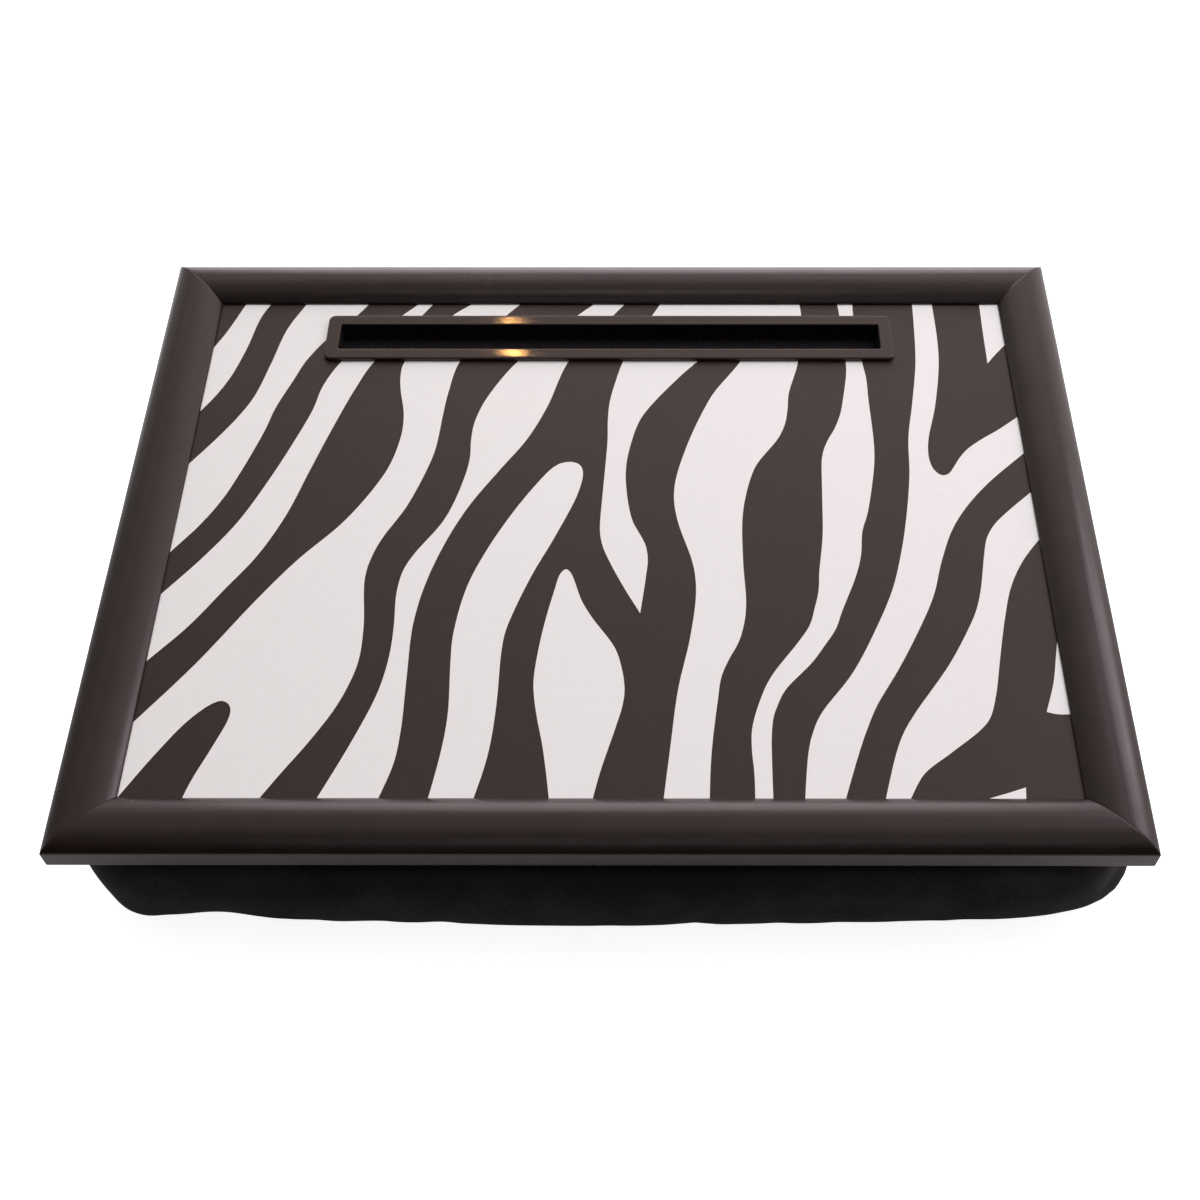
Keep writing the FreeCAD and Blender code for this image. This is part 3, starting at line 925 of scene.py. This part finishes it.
def make_barbs(name, side):
    """Row of wedges on one long wall of the trough; side is -1 at the front and 1 at the back."""
    half = barb_length / 2
    wedge = [(barb_root, 0), (-barb_reach, -barb_tip[0]), (-barb_reach, -barb_tip[1])]
    wedge += [(0, -barb_height), (barb_root, -barb_height)]
    points = [(x, y, z) for x in (-half, half) for y, z in wedge]
    count = len(wedge)
    faces = [tuple(range(count)), tuple(range(count, 2 * count))[::-1]]
    faces += [(i, i + count, (i + 1) % count + count, (i + 1) % count) for i in range(count)]
    template = new_piece("barb_template", points, faces, [])
    wall = slot_centre_y + side * (slot_half_y + trough_wall)
    share = 2 * slot_half_x / barbs_per_side
    places = [(share * (i + 0.5) - slot_half_x, wall, panel_underside) for i in range(barbs_per_side)]
    base = new_piece("barb_places", places, [], [])
    half_turn = 0.0 if side < 0 else math.pi
    return run_copies(name, base, row_copies, {
        "Template": template, "Material": bezel_plastic, "Turn": (0, 0, half_turn), "Size spread": 0.0})


for name, side in (("snap_barbs_front", -1), ("snap_barbs_back", 1)):
    carry(make_barbs(name, side), "tray", "bezel_plastic")

# %% [markdown]
# ## Hook and loop tape
# The tray is held on its cushion by hook and loop tape under each rail. Hook tape is a woven band with
# rows of small nylon hooks and a plain edge, and loop tape a band with a dense pile of loops. Both show
# only when the tray is lifted off, but then at close range, so the hooks and loops are modelled and not
# painted.

# %% Tape materials
hook_nylon, tree, shader, place = new_finish(
    "hook_nylon", color=(0.012, 0.011, 0.011), gloss=(0.35, 0.45), mottling=(400.0, 0.2))
tape_band, tree, shader, place = new_finish(
    "tape_band", color=(0.011, 0.01, 0.01), gloss=(0.7, 0.85), mottling=(400.0, 0.25))
band_weave = place_group(tree, weave, {"Pitch": 0.0005})
join(tree, place, band_weave.inputs["Vector"])
add_bump(tree, shader, band_weave.outputs["Height"], distance=0.0001, strength=0.7)
loop_pile, tree, shader, place = new_finish(
    "loop_pile", color=(0.017, 0.016, 0.0155), gloss=(0.7, 0.9), mottling=(700.0, 0.35))
shader.inputs["Sheen Weight"].default_value = 0.25
print("made", hook_nylon.name, tape_band.name, loop_pile.name)

# %% Bands of the tapes, and the places of hooks and loops
band_thickness = 0.45
band_ease = 0.12
foot_depth = 0.05
plain_edge = 1.4
hook_pitch = 1.65
loop_spacing = 1.3


def tape_boxes(kind):
    """Boxes of the four tapes of a kind."""
    return [node_box(f"{kind}_tape_{side}") for side in sides]


def make_bands(name, kind, top_side):
    """Four thin bands, at the top or the bottom of the tapes' boxes."""
    points, faces = [], []
    for low, high in tape_boxes(kind):
        z = (high[2] - band_thickness, high[2]) if top_side else (low[2], low[2] + band_thickness)
        start = len(points)
        rings = ((z[0], band_ease), (z[0] + band_ease, 0), (z[1] - band_ease, 0), (z[1], band_ease))
        for level, inset in rings:
            outline = rectangle(low[0] + inset, high[0] - inset, low[1] + inset, high[1] - inset)
            points += [(x, y, level) for x, y in outline]
        faces.append((start + 3, start + 2, start + 1, start))
        faces += ring_faces(len(rings), 4, start)
        faces.append(tuple(range(len(points) - 4, len(points))))
    return new_piece(name, points, faces, [tape_band])


def hook_places():
    """Rows of hook feet on the undersides of the hook bands."""
    places = []
    for low, high in tape_boxes("hook"):
        spans = [high[axis] - low[axis] - 2 * plain_edge for axis in (0, 1)]
        counts = [int(span / hook_pitch) + 1 for span in spans]
        for i in range(counts[0]):
            for j in range(counts[1]):
                x = low[0] + plain_edge + spans[0] * i / (counts[0] - 1)
                y = low[1] + plain_edge + spans[1] * j / (counts[1] - 1)
                places.append((x, y, high[2] - band_thickness + foot_depth))
    return places


def loop_ground():
    """Faces that the loops stand on, one on each loop band."""
    points, faces = [], []
    for low, high in tape_boxes("loop"):
        faces.append(tuple(range(len(points), len(points) + 4)))
        outline = rectangle(
            low[0] + plain_edge, high[0] - plain_edge, low[1] + plain_edge, high[1] - plain_edge)
        points += [(x, y, low[2] + band_thickness - foot_depth) for x, y in outline]
    return points, faces


hook_bands = make_bands("hook_bands", "hook", True)
loop_bands = make_bands("loop_bands", "loop", False)
carry(hook_bands, "tray", "hook_tape", *[f"hook_tape_{side}" for side in sides])
carry(loop_bands, "cushion", "loop_tape", *[f"loop_tape_{side}" for side in sides])

# %% Hooks and loops
hook_path = [(0, 0), (0, 0.46), (0.13, 0.7), (0.36, 0.62)]
hook_template = sweep_template("hook_template", hook_path, half_width=0.11, facets=4)
hooks = run_copies("nylon_hooks", new_piece("hook_places", hook_places(), [], []), row_copies, {
    "Template": hook_template, "Material": hook_nylon, "Turn": (math.pi, 0, 0),
    ROTATION_SPREAD: (0.12, 0.12, 0.5), "Size spread": 0.05, "Seed": 4})
carry(hooks, "tray", "hook_tape")
loop_path = [(-0.5, 0), (-0.55, 0.4), (-0.2, 0.76), (0.25, 0.74), (0.55, 0.35), (0.45, 0)]
loop_template = sweep_template("loop_template", loop_path, half_width=0.08, facets=3)
ground_points, ground_faces = loop_ground()
pile = run_copies("loop_pile", new_piece("loop_ground", ground_points, ground_faces, []), scattered_copies, {
    "Template": loop_template, "Material": loop_pile, "Spacing": loop_spacing * MM, "Turn": (0, 0, 0),
    ROTATION_SPREAD: (0.25, 0.25, math.pi), "Size spread": 0.1, "Seed": 7})
carry(pile, "cushion", "loop_tape")

# %% [markdown]
# ## Steel fasteners
# V nails across the mitres and flat framing points behind the board are plain zinc-coated steel. Their
# CAD shapes are right as they are, so they only get a material: bright metal with the cloudy grain of a
# zinc coat.

# %% Zinc-coated steel on the CAD fasteners
zinc_steel, tree, shader, place = new_finish(
    "zinc_steel", color=(0.55, 0.55, 0.54), gloss=(0.28, 0.5), mottling=(250.0, 0.2), patch_scale=300.0)
shader.inputs["Metallic"].default_value = 1.0
zinc_grain = add_noise(tree, place, scale=1500.0)
add_bump(tree, shader, zinc_grain, distance=0.00005, strength=0.3)
fasteners = [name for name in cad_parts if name.startswith(("v_nail", "framing_point"))]
for name in fasteners:
    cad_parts[name].data.materials.clear()
    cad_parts[name].data.materials.append(zinc_steel)
print("fasteners with zinc:", len(fasteners))

# %% [markdown]
# ## Finish of the cushion: black woven cloth
# The cover is a thin black cloth, woven so finely that its threads only show close by. Its colour is not
# quite even, because threads take dye differently, and it has a little sheen at grazing angles.

# %% Cloth and thread materials
cover_cloth, tree, shader, place = new_finish(
    "black_cover_cloth", color=(0.0050, 0.0046, 0.0040), gloss=(0.72, 0.88), mottling=(120.0, 0.22),
    specular=0.25)
shader.inputs["Sheen Weight"].default_value = 0.03
shader.inputs["Sheen Roughness"].default_value = 0.4
cloth_weave = place_group(tree, weave, {"Pitch": 0.0007})
join(tree, place, cloth_weave.inputs["Vector"])
slub_height = add_noise(tree, place, scale=260.0, detail=3.0)
slub = add_bump(tree, shader, slub_height, distance=0.0004, strength=0.35)
add_bump(tree, shader, cloth_weave.outputs["Height"], distance=0.00012, strength=0.7, under=slub)
black_thread, tree, shader, place = new_finish(
    "black_thread", color=(0.013, 0.0125, 0.012), gloss=(0.5, 0.65), mottling=(900.0, 0.3))
twist = add_node(tree, "ShaderNodeTexWave", {"Scale": 900.0, "Distortion": 2.0}, bands_direction="DIAGONAL")
join(tree, place, twist.inputs["Vector"])
add_bump(tree, shader, twist.outputs["Fac"], distance=0.0001, strength=0.6)
print("made", cover_cloth.name, black_thread.name)

# %% [markdown]
# ## Cushion: the sewn bag before it is filled
# The bag is a shallow bowl of cloth closed by a flat top sheet. Its outline is a rectangle with bowed
# sides and round corners, which grows from the small base to the fullest line and draws in again to the
# rim under the frame. The mesh starts a little smaller than the filled bag, because the filling will push
# it out.

# %% Outlines of the bag
full_level = 26.0
rim_level = node_box("loop_tape_front")[0][2] - 0.5
side_swell, front_swell = 6.5, 9.0
rim_inset = 5.0
base_inset = 24.0
full_corner, base_corner, rim_corner = 33.0, 19.0, 30.0
full_bow, end_bow = 8.0, 2.5
bag_shift = 2.5
shift_hold = 1.6
side_steps, turn_steps, front_steps = 10, 10, 12
ring_step = 10


def arc_points(centre, start, end, count):
    """Points of an arc about a centre from a start towards an end, without the end."""
    first = math.atan2(start[1] - centre[1], start[0] - centre[0])
    last = math.atan2(end[1] - centre[1], end[0] - centre[0])
    radius = math.dist(centre, start)
    turns = [first + (last - first) * i / count for i in range(count)]
    return [(centre[0] + radius * math.cos(t), centre[1] + radius * math.sin(t)) for t in turns]


def bowed_outline(half_x, half_y, corner, bow):
    """Closed outline of four bowed sides joined by four round corners, anticlockwise."""
    long_radius = (half_x ** 2 + bow ** 2) / (2 * bow)
    short_radius = (half_y ** 2 + bow ** 2) / (2 * bow)
    long_centre = Vector((0, half_y - long_radius))
    short_centre = Vector((half_x - short_radius, 0))
    between = short_centre - long_centre
    long_reach, short_reach = long_radius - corner, short_radius - corner
    along = (long_reach ** 2 - short_reach ** 2 + between.length ** 2) / (2 * between.length)
    across = math.sqrt(long_reach ** 2 - along ** 2)
    unit = between.normalized()
    middle = long_centre + unit * along + Vector((unit.y, -unit.x)) * across
    short_touch = middle + (middle - short_centre).normalized() * corner
    long_touch = middle + (middle - long_centre).normalized() * corner
    quarter = arc_points(short_centre, (half_x, 0), short_touch, side_steps)
    quarter += arc_points(middle, short_touch, long_touch, turn_steps)
    quarter += arc_points(long_centre, long_touch, (0, half_y), front_steps)
    top = [(0.0, half_y)]
    left = [(-x, y) for x, y in quarter[:0:-1]]
    upper = quarter + top + left
    lower = [(-x, -y) for x, y in upper]
    return upper + lower


def bag_outline(angle):
    """Outline of the bag at an angle of its rounded side: -90 is the base, 0 the fullest line, 90 the rim."""
    fullness = math.cos(math.radians(angle))
    base, rim = (base_inset, 0.0, base_corner), (rim_inset, rim_level, rim_corner)
    inset, level, end_corner = base if angle < 0 else rim
    z = full_level + (level - full_level) * abs(math.sin(math.radians(angle)))
    grow_x, grow_y = [(inset + swell) * fullness - inset for swell in (side_swell, front_swell)]
    corner = end_corner + (full_corner - end_corner) * fullness
    bow = end_bow + (full_bow - end_bow) * fullness
    shift = bag_shift if angle < 0 else bag_shift * min(1.0, shift_hold * fullness)
    outline = bowed_outline(tray_half_x + grow_x, tray_half_y + grow_y, corner, bow)
    return [(x + shift, y, z) for x, y in outline]


def make_bag():
    """Closed mesh of the sewn bag, as yet without its filling."""
    rings = [bag_outline(angle) for angle in range(-90, 91, ring_step)]
    count = len(rings[0])
    points = [p for ring in rings for p in ring]
    faces = [tuple(range(count))[::-1]] + ring_faces(len(rings), count)
    faces.append(tuple(range(len(points) - count, len(points))))
    return new_piece("cushion_cover", points, faces, [cover_cloth])


bag = make_bag()
print("bag before filling:", len(bag.data.vertices), "points, rim at", round(rim_level, 2))

# %% [markdown]
# ## Cushion: filled by cloth simulation
# A voxel remesh turns the bag into even small squares, which cloth needs. The rim and the flat base are
# held still, because one is fixed under the frame and the other lies on the lap. Pressure stands for the
# beads. The cloth is also let out by a few thousandths, as a real cover is cut a little loose. Afterwards
# no point may have moved further than a cap, so the bag keeps its size, and the movement is eased out
# towards the base, so that the lower edge stays calm.

# %% Even mesh and crowned top
voxel = 5.0
crown_height = 4.0
crown_middle_y, crown_half_x, crown_half_y, crown_run = -17.0, 186.0, 114.0, 60.0
top_band = 2.5


def bake_modifiers(piece):
    """Turns a piece's modifiers into its mesh."""
    seen = piece.evaluated_get(bpy.context.evaluated_depsgraph_get())
    mesh = bpy.data.meshes.new_from_object(seen)
    piece.modifiers.clear()
    old, piece.data = piece.data, mesh
    bpy.data.meshes.remove(old)
    mesh.name = piece.name


def get_points(piece):
    """Vertex places of a piece as an array, in millimetres."""
    flat = np.empty(len(piece.data.vertices) * 3)
    piece.data.vertices.foreach_get("co", flat)
    return flat.reshape(-1, 3) / MM


def set_points(piece, points):
    """Moves a piece's vertices to places in millimetres."""
    piece.data.vertices.foreach_set("co", (points * MM).ravel())
    piece.data.update()


def ease(value):
    """Smooth step from 0 to 1."""
    value = np.clip(value, 0, 1)
    return value * value * (3 - 2 * value)


def crown_share(points):
    """How far each point lies inside the crowned part of the top, from 0 at its edge to 1."""
    across = ease((crown_half_x - np.abs(points[:, 0])) / crown_run)
    along = ease((crown_half_y - np.abs(points[:, 1] - crown_middle_y)) / crown_run)
    return across * along


remesh = bag.modifiers.new("even_squares", "REMESH")
remesh.mode = "VOXEL"
remesh.voxel_size = voxel * MM
bake_modifiers(bag)
shape = get_points(bag)
on_top = shape[:, 2] > rim_level - top_band
shape[on_top, 2] += crown_height * crown_share(shape[on_top])
set_points(bag, shape)
print("even mesh:", len(shape), "points")

# %% Filling the bag
held_above, held_below = 51.0, 1.2
crown_edge = 0.05
pressure = 4.0
spare_cloth = 0.003
last_frame = 20
cap = 3.0
calm_height = 18.0


def fill_bag(piece):
    """Runs the cloth simulation and caps how far it moves each point."""
    rest = get_points(piece)
    crowned = crown_share(rest) > crown_edge
    still = (rest[:, 2] < held_below) | ((rest[:, 2] > held_above) & ~crowned)
    group = piece.vertex_groups.new(name="held")
    group.add([int(i) for i in np.nonzero(still)[0]], 1.0, "REPLACE")
    cloth = piece.modifiers.new("filling", "CLOTH")
    settings = cloth.settings
    settings.quality = 6
    settings.mass = 0.25
    settings.tension_stiffness = 18
    settings.compression_stiffness = 18
    settings.shear_stiffness = 6
    settings.bending_stiffness = 0.8
    settings.vertex_group_mass = "held"
    settings.shrink_min = -spare_cloth
    settings.use_pressure = True
    settings.uniform_pressure_force = pressure
    settings.effector_weights.gravity = 0
    cloth.point_cache.frame_start = 1
    cloth.point_cache.frame_end = last_frame
    for number in range(1, last_frame + 1):
        scene.frame_set(number)
    bake_modifiers(piece)
    scene.frame_set(1)
    moved = get_points(piece) - rest
    far = np.linalg.norm(moved, axis=1, keepdims=True)
    moved *= np.minimum(1.0, cap / np.maximum(far, 1e-6)) * ease(rest[:, 2:] / calm_height)
    set_points(piece, rest + moved)
    print("filling moved points by", round(float(far.mean()), 2), "mm, at most", round(float(far.max()), 2))


fill_bag(bag)

# %% [markdown]
# ## Cushion: folds at the corners
# A sewn corner never fills evenly. The lower left corner in front stands out as a small lobe with a
# hollow and a tuck beside it, and the right one is drawn in under the frame. Each fold is a soft bell
# that moves the cover out or in, so it fades before it reaches the rim. Last, the cover is kept off the
# floor and under the frame, and one level of subdivision makes it smooth.

# %% Folds, as place on the cover, reach along and up, and distance outwards
fold_inset = 50.0
crown_core = 0.3
rim_rise = 0.4
cover_folds = [
    ((-195, -160, 12), (12, 14), 2.4),
    ((-209, -155, 20), (11, 13), -2.8),
    ((-158, -165, 12), (15, 20), -2.8),
    ((-167, -163, 12), (3.5, 15), -1.0),
    ((-183, -162, 14), (4.0, 12), -0.6),
    ((-95, -166, 14), (9, 10), -0.6),
    ((198, -164, 14), (11, 14), -1.6),
    ((219, -152, 12), (11, 10), 2.2),
    ((160, -168, 14), (22, 14), 1.0),
    ((216, -159, 36), (14, 12), -3.8),
    ((213, -161, 30), (7, 3.5), -1.0),
    ((165, -171, 45), (45, 3), -0.9),
    ((120, -172, 38), (40, 3.5), -0.7),
]


def add_folds(points):
    """Moves points of the cover outwards or inwards by every fold near them."""
    core = np.array([tray_half_x - fold_inset, tray_half_y - fold_inset])
    outward = points[:, :2] - np.clip(points[:, :2], -core, core)
    outward /= np.maximum(np.linalg.norm(outward, axis=1, keepdims=True), 1e-6)
    shift = np.zeros(len(points))
    for place, (along, up), distance in cover_folds:
        far = ((points[:, :2] - place[:2]) ** 2).sum(axis=1) / along ** 2
        shift += distance * np.exp(-far - ((points[:, 2] - place[2]) / up) ** 2)
    points[:, :2] += outward * shift[:, None]
    return points


shape = add_folds(get_points(bag))
shape[:, 2] = np.maximum(shape[:, 2], 0.0)
roof = np.where(crown_share(shape) > crown_core, sheet_top, rim_level + rim_rise)
shape[:, 2] = np.minimum(shape[:, 2], roof)
set_points(bag, shape)
bag.vertex_groups.clear()
finer = bag.modifiers.new("finer", "SUBSURF")
finer.levels = 1
finer.render_levels = 1
bake_modifiers(bag)
bag.data.shade_smooth()
carry(bag, "cushion", "cover", "cushion_bowl", "cushion_top_sheet", "bead_filling")

# %% [markdown]
# ## Rim seam and stitches
# The top sheet is sewn to the bowl along the rim. The seam shows as a narrow roll of folded cloth with a
# row of stitches on its outer side. Both follow the filled cover: a ring of the bag's outline is moved to
# the nearest place on it. The roll is a curve with a round section, and the stitches are copies along a
# second curve below it.

# %% Seam roll and its stitches
seam_radius = 1.1
roll_angle, roll_outward = 84, 0.2
stitch_angle, stitch_outward = 78, 0.5
stitch_spacing = 4.0
stitch_length = 2.7


def seam_curve(name, angle, outward, radius):
    """Closed round curve on the filled bag, nearest to its outline at an angle and moved outwards."""
    data = bpy.data.curves.new(name, "CURVE")
    data.dimensions = "3D"
    spline = data.splines.new("POLY")
    ring = []
    for point in bag_outline(angle):
        _, place, normal, _ = bag.closest_point_on_mesh(Vector(point) * MM)
        ring.append(place + normal * outward * MM)
    spline.points.add(len(ring) - 1)
    for point, place in zip(spline.points, ring):
        point.co = (*place, 1)
    spline.use_cyclic_u = True
    data.bevel_depth = radius * MM
    data.bevel_resolution = 2
    curve = bpy.data.objects.new(name, data)
    scene.collection.objects.link(curve)
    return curve


roll_curve = seam_curve("rim_roll_path", roll_angle, roll_outward, seam_radius)
roll_mesh = bpy.data.meshes.new_from_object(roll_curve.evaluated_get(bpy.context.evaluated_depsgraph_get()))
bpy.data.objects.remove(roll_curve)
roll_mesh.materials.clear()
roll_mesh.materials.append(cover_cloth)
rim_roll = bpy.data.objects.new("rim_seam_roll", roll_mesh)
scene.collection.objects.link(rim_roll)
carry(rim_roll, "cushion", "cover")
half_stitch = stitch_length / 2
stitch_shares = [(-1, -0.15), (-0.6, 0.12), (0.6, 0.12), (1, -0.15)]
stitch_path = [(half_stitch * share, rise) for share, rise in stitch_shares]
stitch_template = sweep_template("stitch_template", stitch_path, half_width=0.24, facets=5)
stitch_curve = seam_curve("stitch_path", stitch_angle, stitch_outward, 0.0)
stitches = run_copies("rim_stitches", stitch_curve, seam_copies, {
    "Template": stitch_template, "Material": black_thread, "Spacing": stitch_spacing * MM, "Turn": (0, 0, 0),
    ROTATION_SPREAD: (0, 0, 0), "Size spread": 0.06, "Seed": 11})
carry(stitches, "cushion", "cover")

# %% [markdown]
# ## Floor, studio light and background
# The tray was photographed on white. A pale floor catches its shadow, and for rays that come straight
# from the camera it is lifted to white, so that no extra light is needed on the tray. A white wall behind
# and a dark room in front give the frame its long soft reflections. The ceiling lamp lights the print
# evenly and is kept out of mirrors, so the gloss of the frame comes from the windows, the bright wall at
# the right and two cards. A small warm lamp far behind, narrowed to a beam, leaves two sparkling spots on
# the bezel.

# %% Floor
floor_size = 4000.0
floor_lift = 0.88
floor_color = (0.86, 0.86, 0.86, 1)
# Near-black floor colour used only for reflected rays at the sides: painted shade that stands for a dark room
# there.
reflected_floor_shade = (0.02, 0.02, 0.02, 1)
shade_ends, shade_levels = (-0.1, 0.15), (0.08, 1.0)
shade_slant = 0.55
side_shade_ends, side_shade_levels = (0.4, 1.0), (0.0, 0.75)
floor_drop = -0.3
floor_material = bpy.data.materials.new("pale_floor")
floor_material.use_nodes = True
tree = floor_material.node_tree
shader = tree.nodes["Principled BSDF"]
shader.inputs["Roughness"].default_value = 0.9
shader.inputs["Emission Color"].default_value = (1, 1, 1, 1)
rays = add_node(tree, "ShaderNodeLightPath")
seen_rays = maths(tree, "MAXIMUM", rays.outputs["Is Camera Ray"], rays.outputs["Is Transmission Ray"])
spot = add_node(tree, "ShaderNodeSeparateXYZ")
join(tree, add_node(tree, "ShaderNodeTexCoord").outputs["Object"], spot.inputs[0])
beside = maths(tree, "ABSOLUTE", spot.outputs[0])
slanted = maths(tree, "SUBTRACT", spot.outputs[1], maths(tree, "MULTIPLY", beside, shade_slant))
# For reflected rays the floor is lifted to white behind the tray and barely in front, where it keeps its lit
# colour and shadow.
behind = ramp(tree, slanted, shade_ends, shade_levels)
mirrored = maths(tree, "MULTIPLY", rays.outputs["Is Glossy Ray"], behind)
seen_rays = maths(tree, "MAXIMUM", seen_rays, mirrored)
join(tree, maths(tree, "MULTIPLY", seen_rays, floor_lift), shader.inputs["Emission Strength"])
# Painted shade: for reflected rays the floor's colour fades to near black beyond 0.4 m to either side, which
# darkens what the side rails reflect.
reflected_shade_share = maths(tree, "MULTIPLY", rays.outputs["Is Glossy Ray"], ramp(tree, beside, side_shade_ends, side_shade_levels))
floor_with_reflected_shade = add_node(tree, "ShaderNodeMix", {"A": floor_color, "B": reflected_floor_shade}, data_type="RGBA")
join(tree, reflected_shade_share, floor_with_reflected_shade.inputs["Factor"])
join(tree, floor_with_reflected_shade.outputs["Result"], shader.inputs["Base Color"])
half = floor_size / 2
floor_corners = [(x, y, floor_drop) for x, y in rectangle(-half, half, -half, half)]
floor = new_piece("floor", floor_corners, [(0, 1, 2, 3)], [floor_material])
print("floor of", floor_size * MM, "m")

# %% World: white behind, dark in front
depth_ends, depth_levels = (-0.58, 0.8), (0.03, 1.07)
width_ends, width_levels = (-0.9, 0.6), (0.33, 1.35)
height_ends, height_levels = (0.75, 0.92), (1.0, 0.82)
room_tint = (1, 0.87, 0.86, 1)
world = bpy.data.worlds.new("studio")
scene.world = world
world.use_nodes = True
tree = world.node_tree
background = tree.nodes["Background"]
direction = add_node(tree, "ShaderNodeTexCoord").outputs["Generated"]
compass = add_node(tree, "ShaderNodeSeparateXYZ")
join(tree, direction, compass.inputs[0])
depth = ramp(tree, compass.outputs[1], depth_ends, depth_levels)
width = ramp(tree, compass.outputs[0], width_ends, width_levels)
height = ramp(tree, compass.outputs[2], height_ends, height_levels)
wall = maths(tree, "MULTIPLY", maths(tree, "MULTIPLY", depth, width), height)
rays = add_node(tree, "ShaderNodeLightPath")
seen_rays = maths(tree, "MAXIMUM", rays.outputs["Is Camera Ray"], rays.outputs["Is Transmission Ray"])
join(tree, maths(tree, "MAXIMUM", wall, seen_rays), background.inputs["Strength"])
tint = add_node(tree, "ShaderNodeMix", {"A": room_tint, "B": (1, 1, 1, 1)}, data_type="RGBA")
join(tree, seen_rays, tint.inputs["Factor"])
join(tree, tint.outputs["Result"], background.inputs["Color"])
print("world ready")

# %% Lamps
window_tint = (1.0, 0.88, 0.95)
whole_beam = 180


def add_lamp(name, azimuth, elevation, distance, size, radiance,
             color=(1, 1, 1), aim=(0, 0, 70), mirrored=True, beam=whole_beam):
    """Rectangular lamp that faces a point; azimuth runs from the back of the tray to its right."""
    data = bpy.data.lights.new(name, "AREA")
    data.shape = "RECTANGLE"
    data.size, data.size_y = size[0] * MM, size[1] * MM
    data.energy = radiance * math.pi * data.size * data.size_y
    if beam < whole_beam:
        data.spread = math.radians(beam)
        data.energy *= 1 - data.spread / 2 / math.tan(data.spread / 2)
    data.color = color
    turn, rise = math.radians(azimuth), math.radians(elevation)
    away = Vector((math.sin(turn) * math.cos(rise), math.cos(turn) * math.cos(rise), math.sin(rise)))
    lamp = bpy.data.objects.new(name, data)
    lamp.visible_glossy = mirrored
    lamp.location = (Vector(aim) + away * distance) * MM
    lamp.rotation_euler = away.to_track_quat("Z", "Y").to_euler()
    scene.collection.objects.link(lamp)
    print(f"{name}: {data.energy:.1f} W")


add_lamp("ceiling", azimuth=10, elevation=65, distance=1800, size=(1500, 1300), radiance=2.5, mirrored=False)
add_lamp("back_window", azimuth=0, elevation=0, distance=3000, size=(2000, 2250), radiance=1.85,
         color=(1.0, 0.9, 0.93), aim=(0, 0, 1075))
add_lamp("right_window", azimuth=64.6, elevation=24.2, distance=1720, size=(360, 460), radiance=3.1,
         color=window_tint)
add_lamp("right_wall", azimuth=47, elevation=40, distance=600, size=(250, 260), radiance=2.4,
         color=window_tint, aim=(205, -120, 70))
add_lamp("back_card", azimuth=180, elevation=80, distance=900, size=(460, 200), radiance=2.3,
         color=(1.0, 0.85, 0.85), aim=(0, 150, 70), beam=20)
add_lamp("left_window", azimuth=-46.5, elevation=12.5, distance=1413, size=(420, 450), radiance=0.2,
         color=(1.0, 0.9, 0.9))
add_lamp("front_card", azimuth=170, elevation=56, distance=1100, size=(1000, 420), radiance=0.32)
add_lamp("warm_lamp", azimuth=-6.65, elevation=45.6, distance=2500, size=(14, 70), radiance=260.0,
         color=(1.0, 0.5, 0.15), aim=(-51.5, 121, 71), beam=2)

# %% [markdown]
# ## View transform
# The scene is shown through the Standard view transform.

# %% View transform
scene.view_settings.view_transform = "Standard"
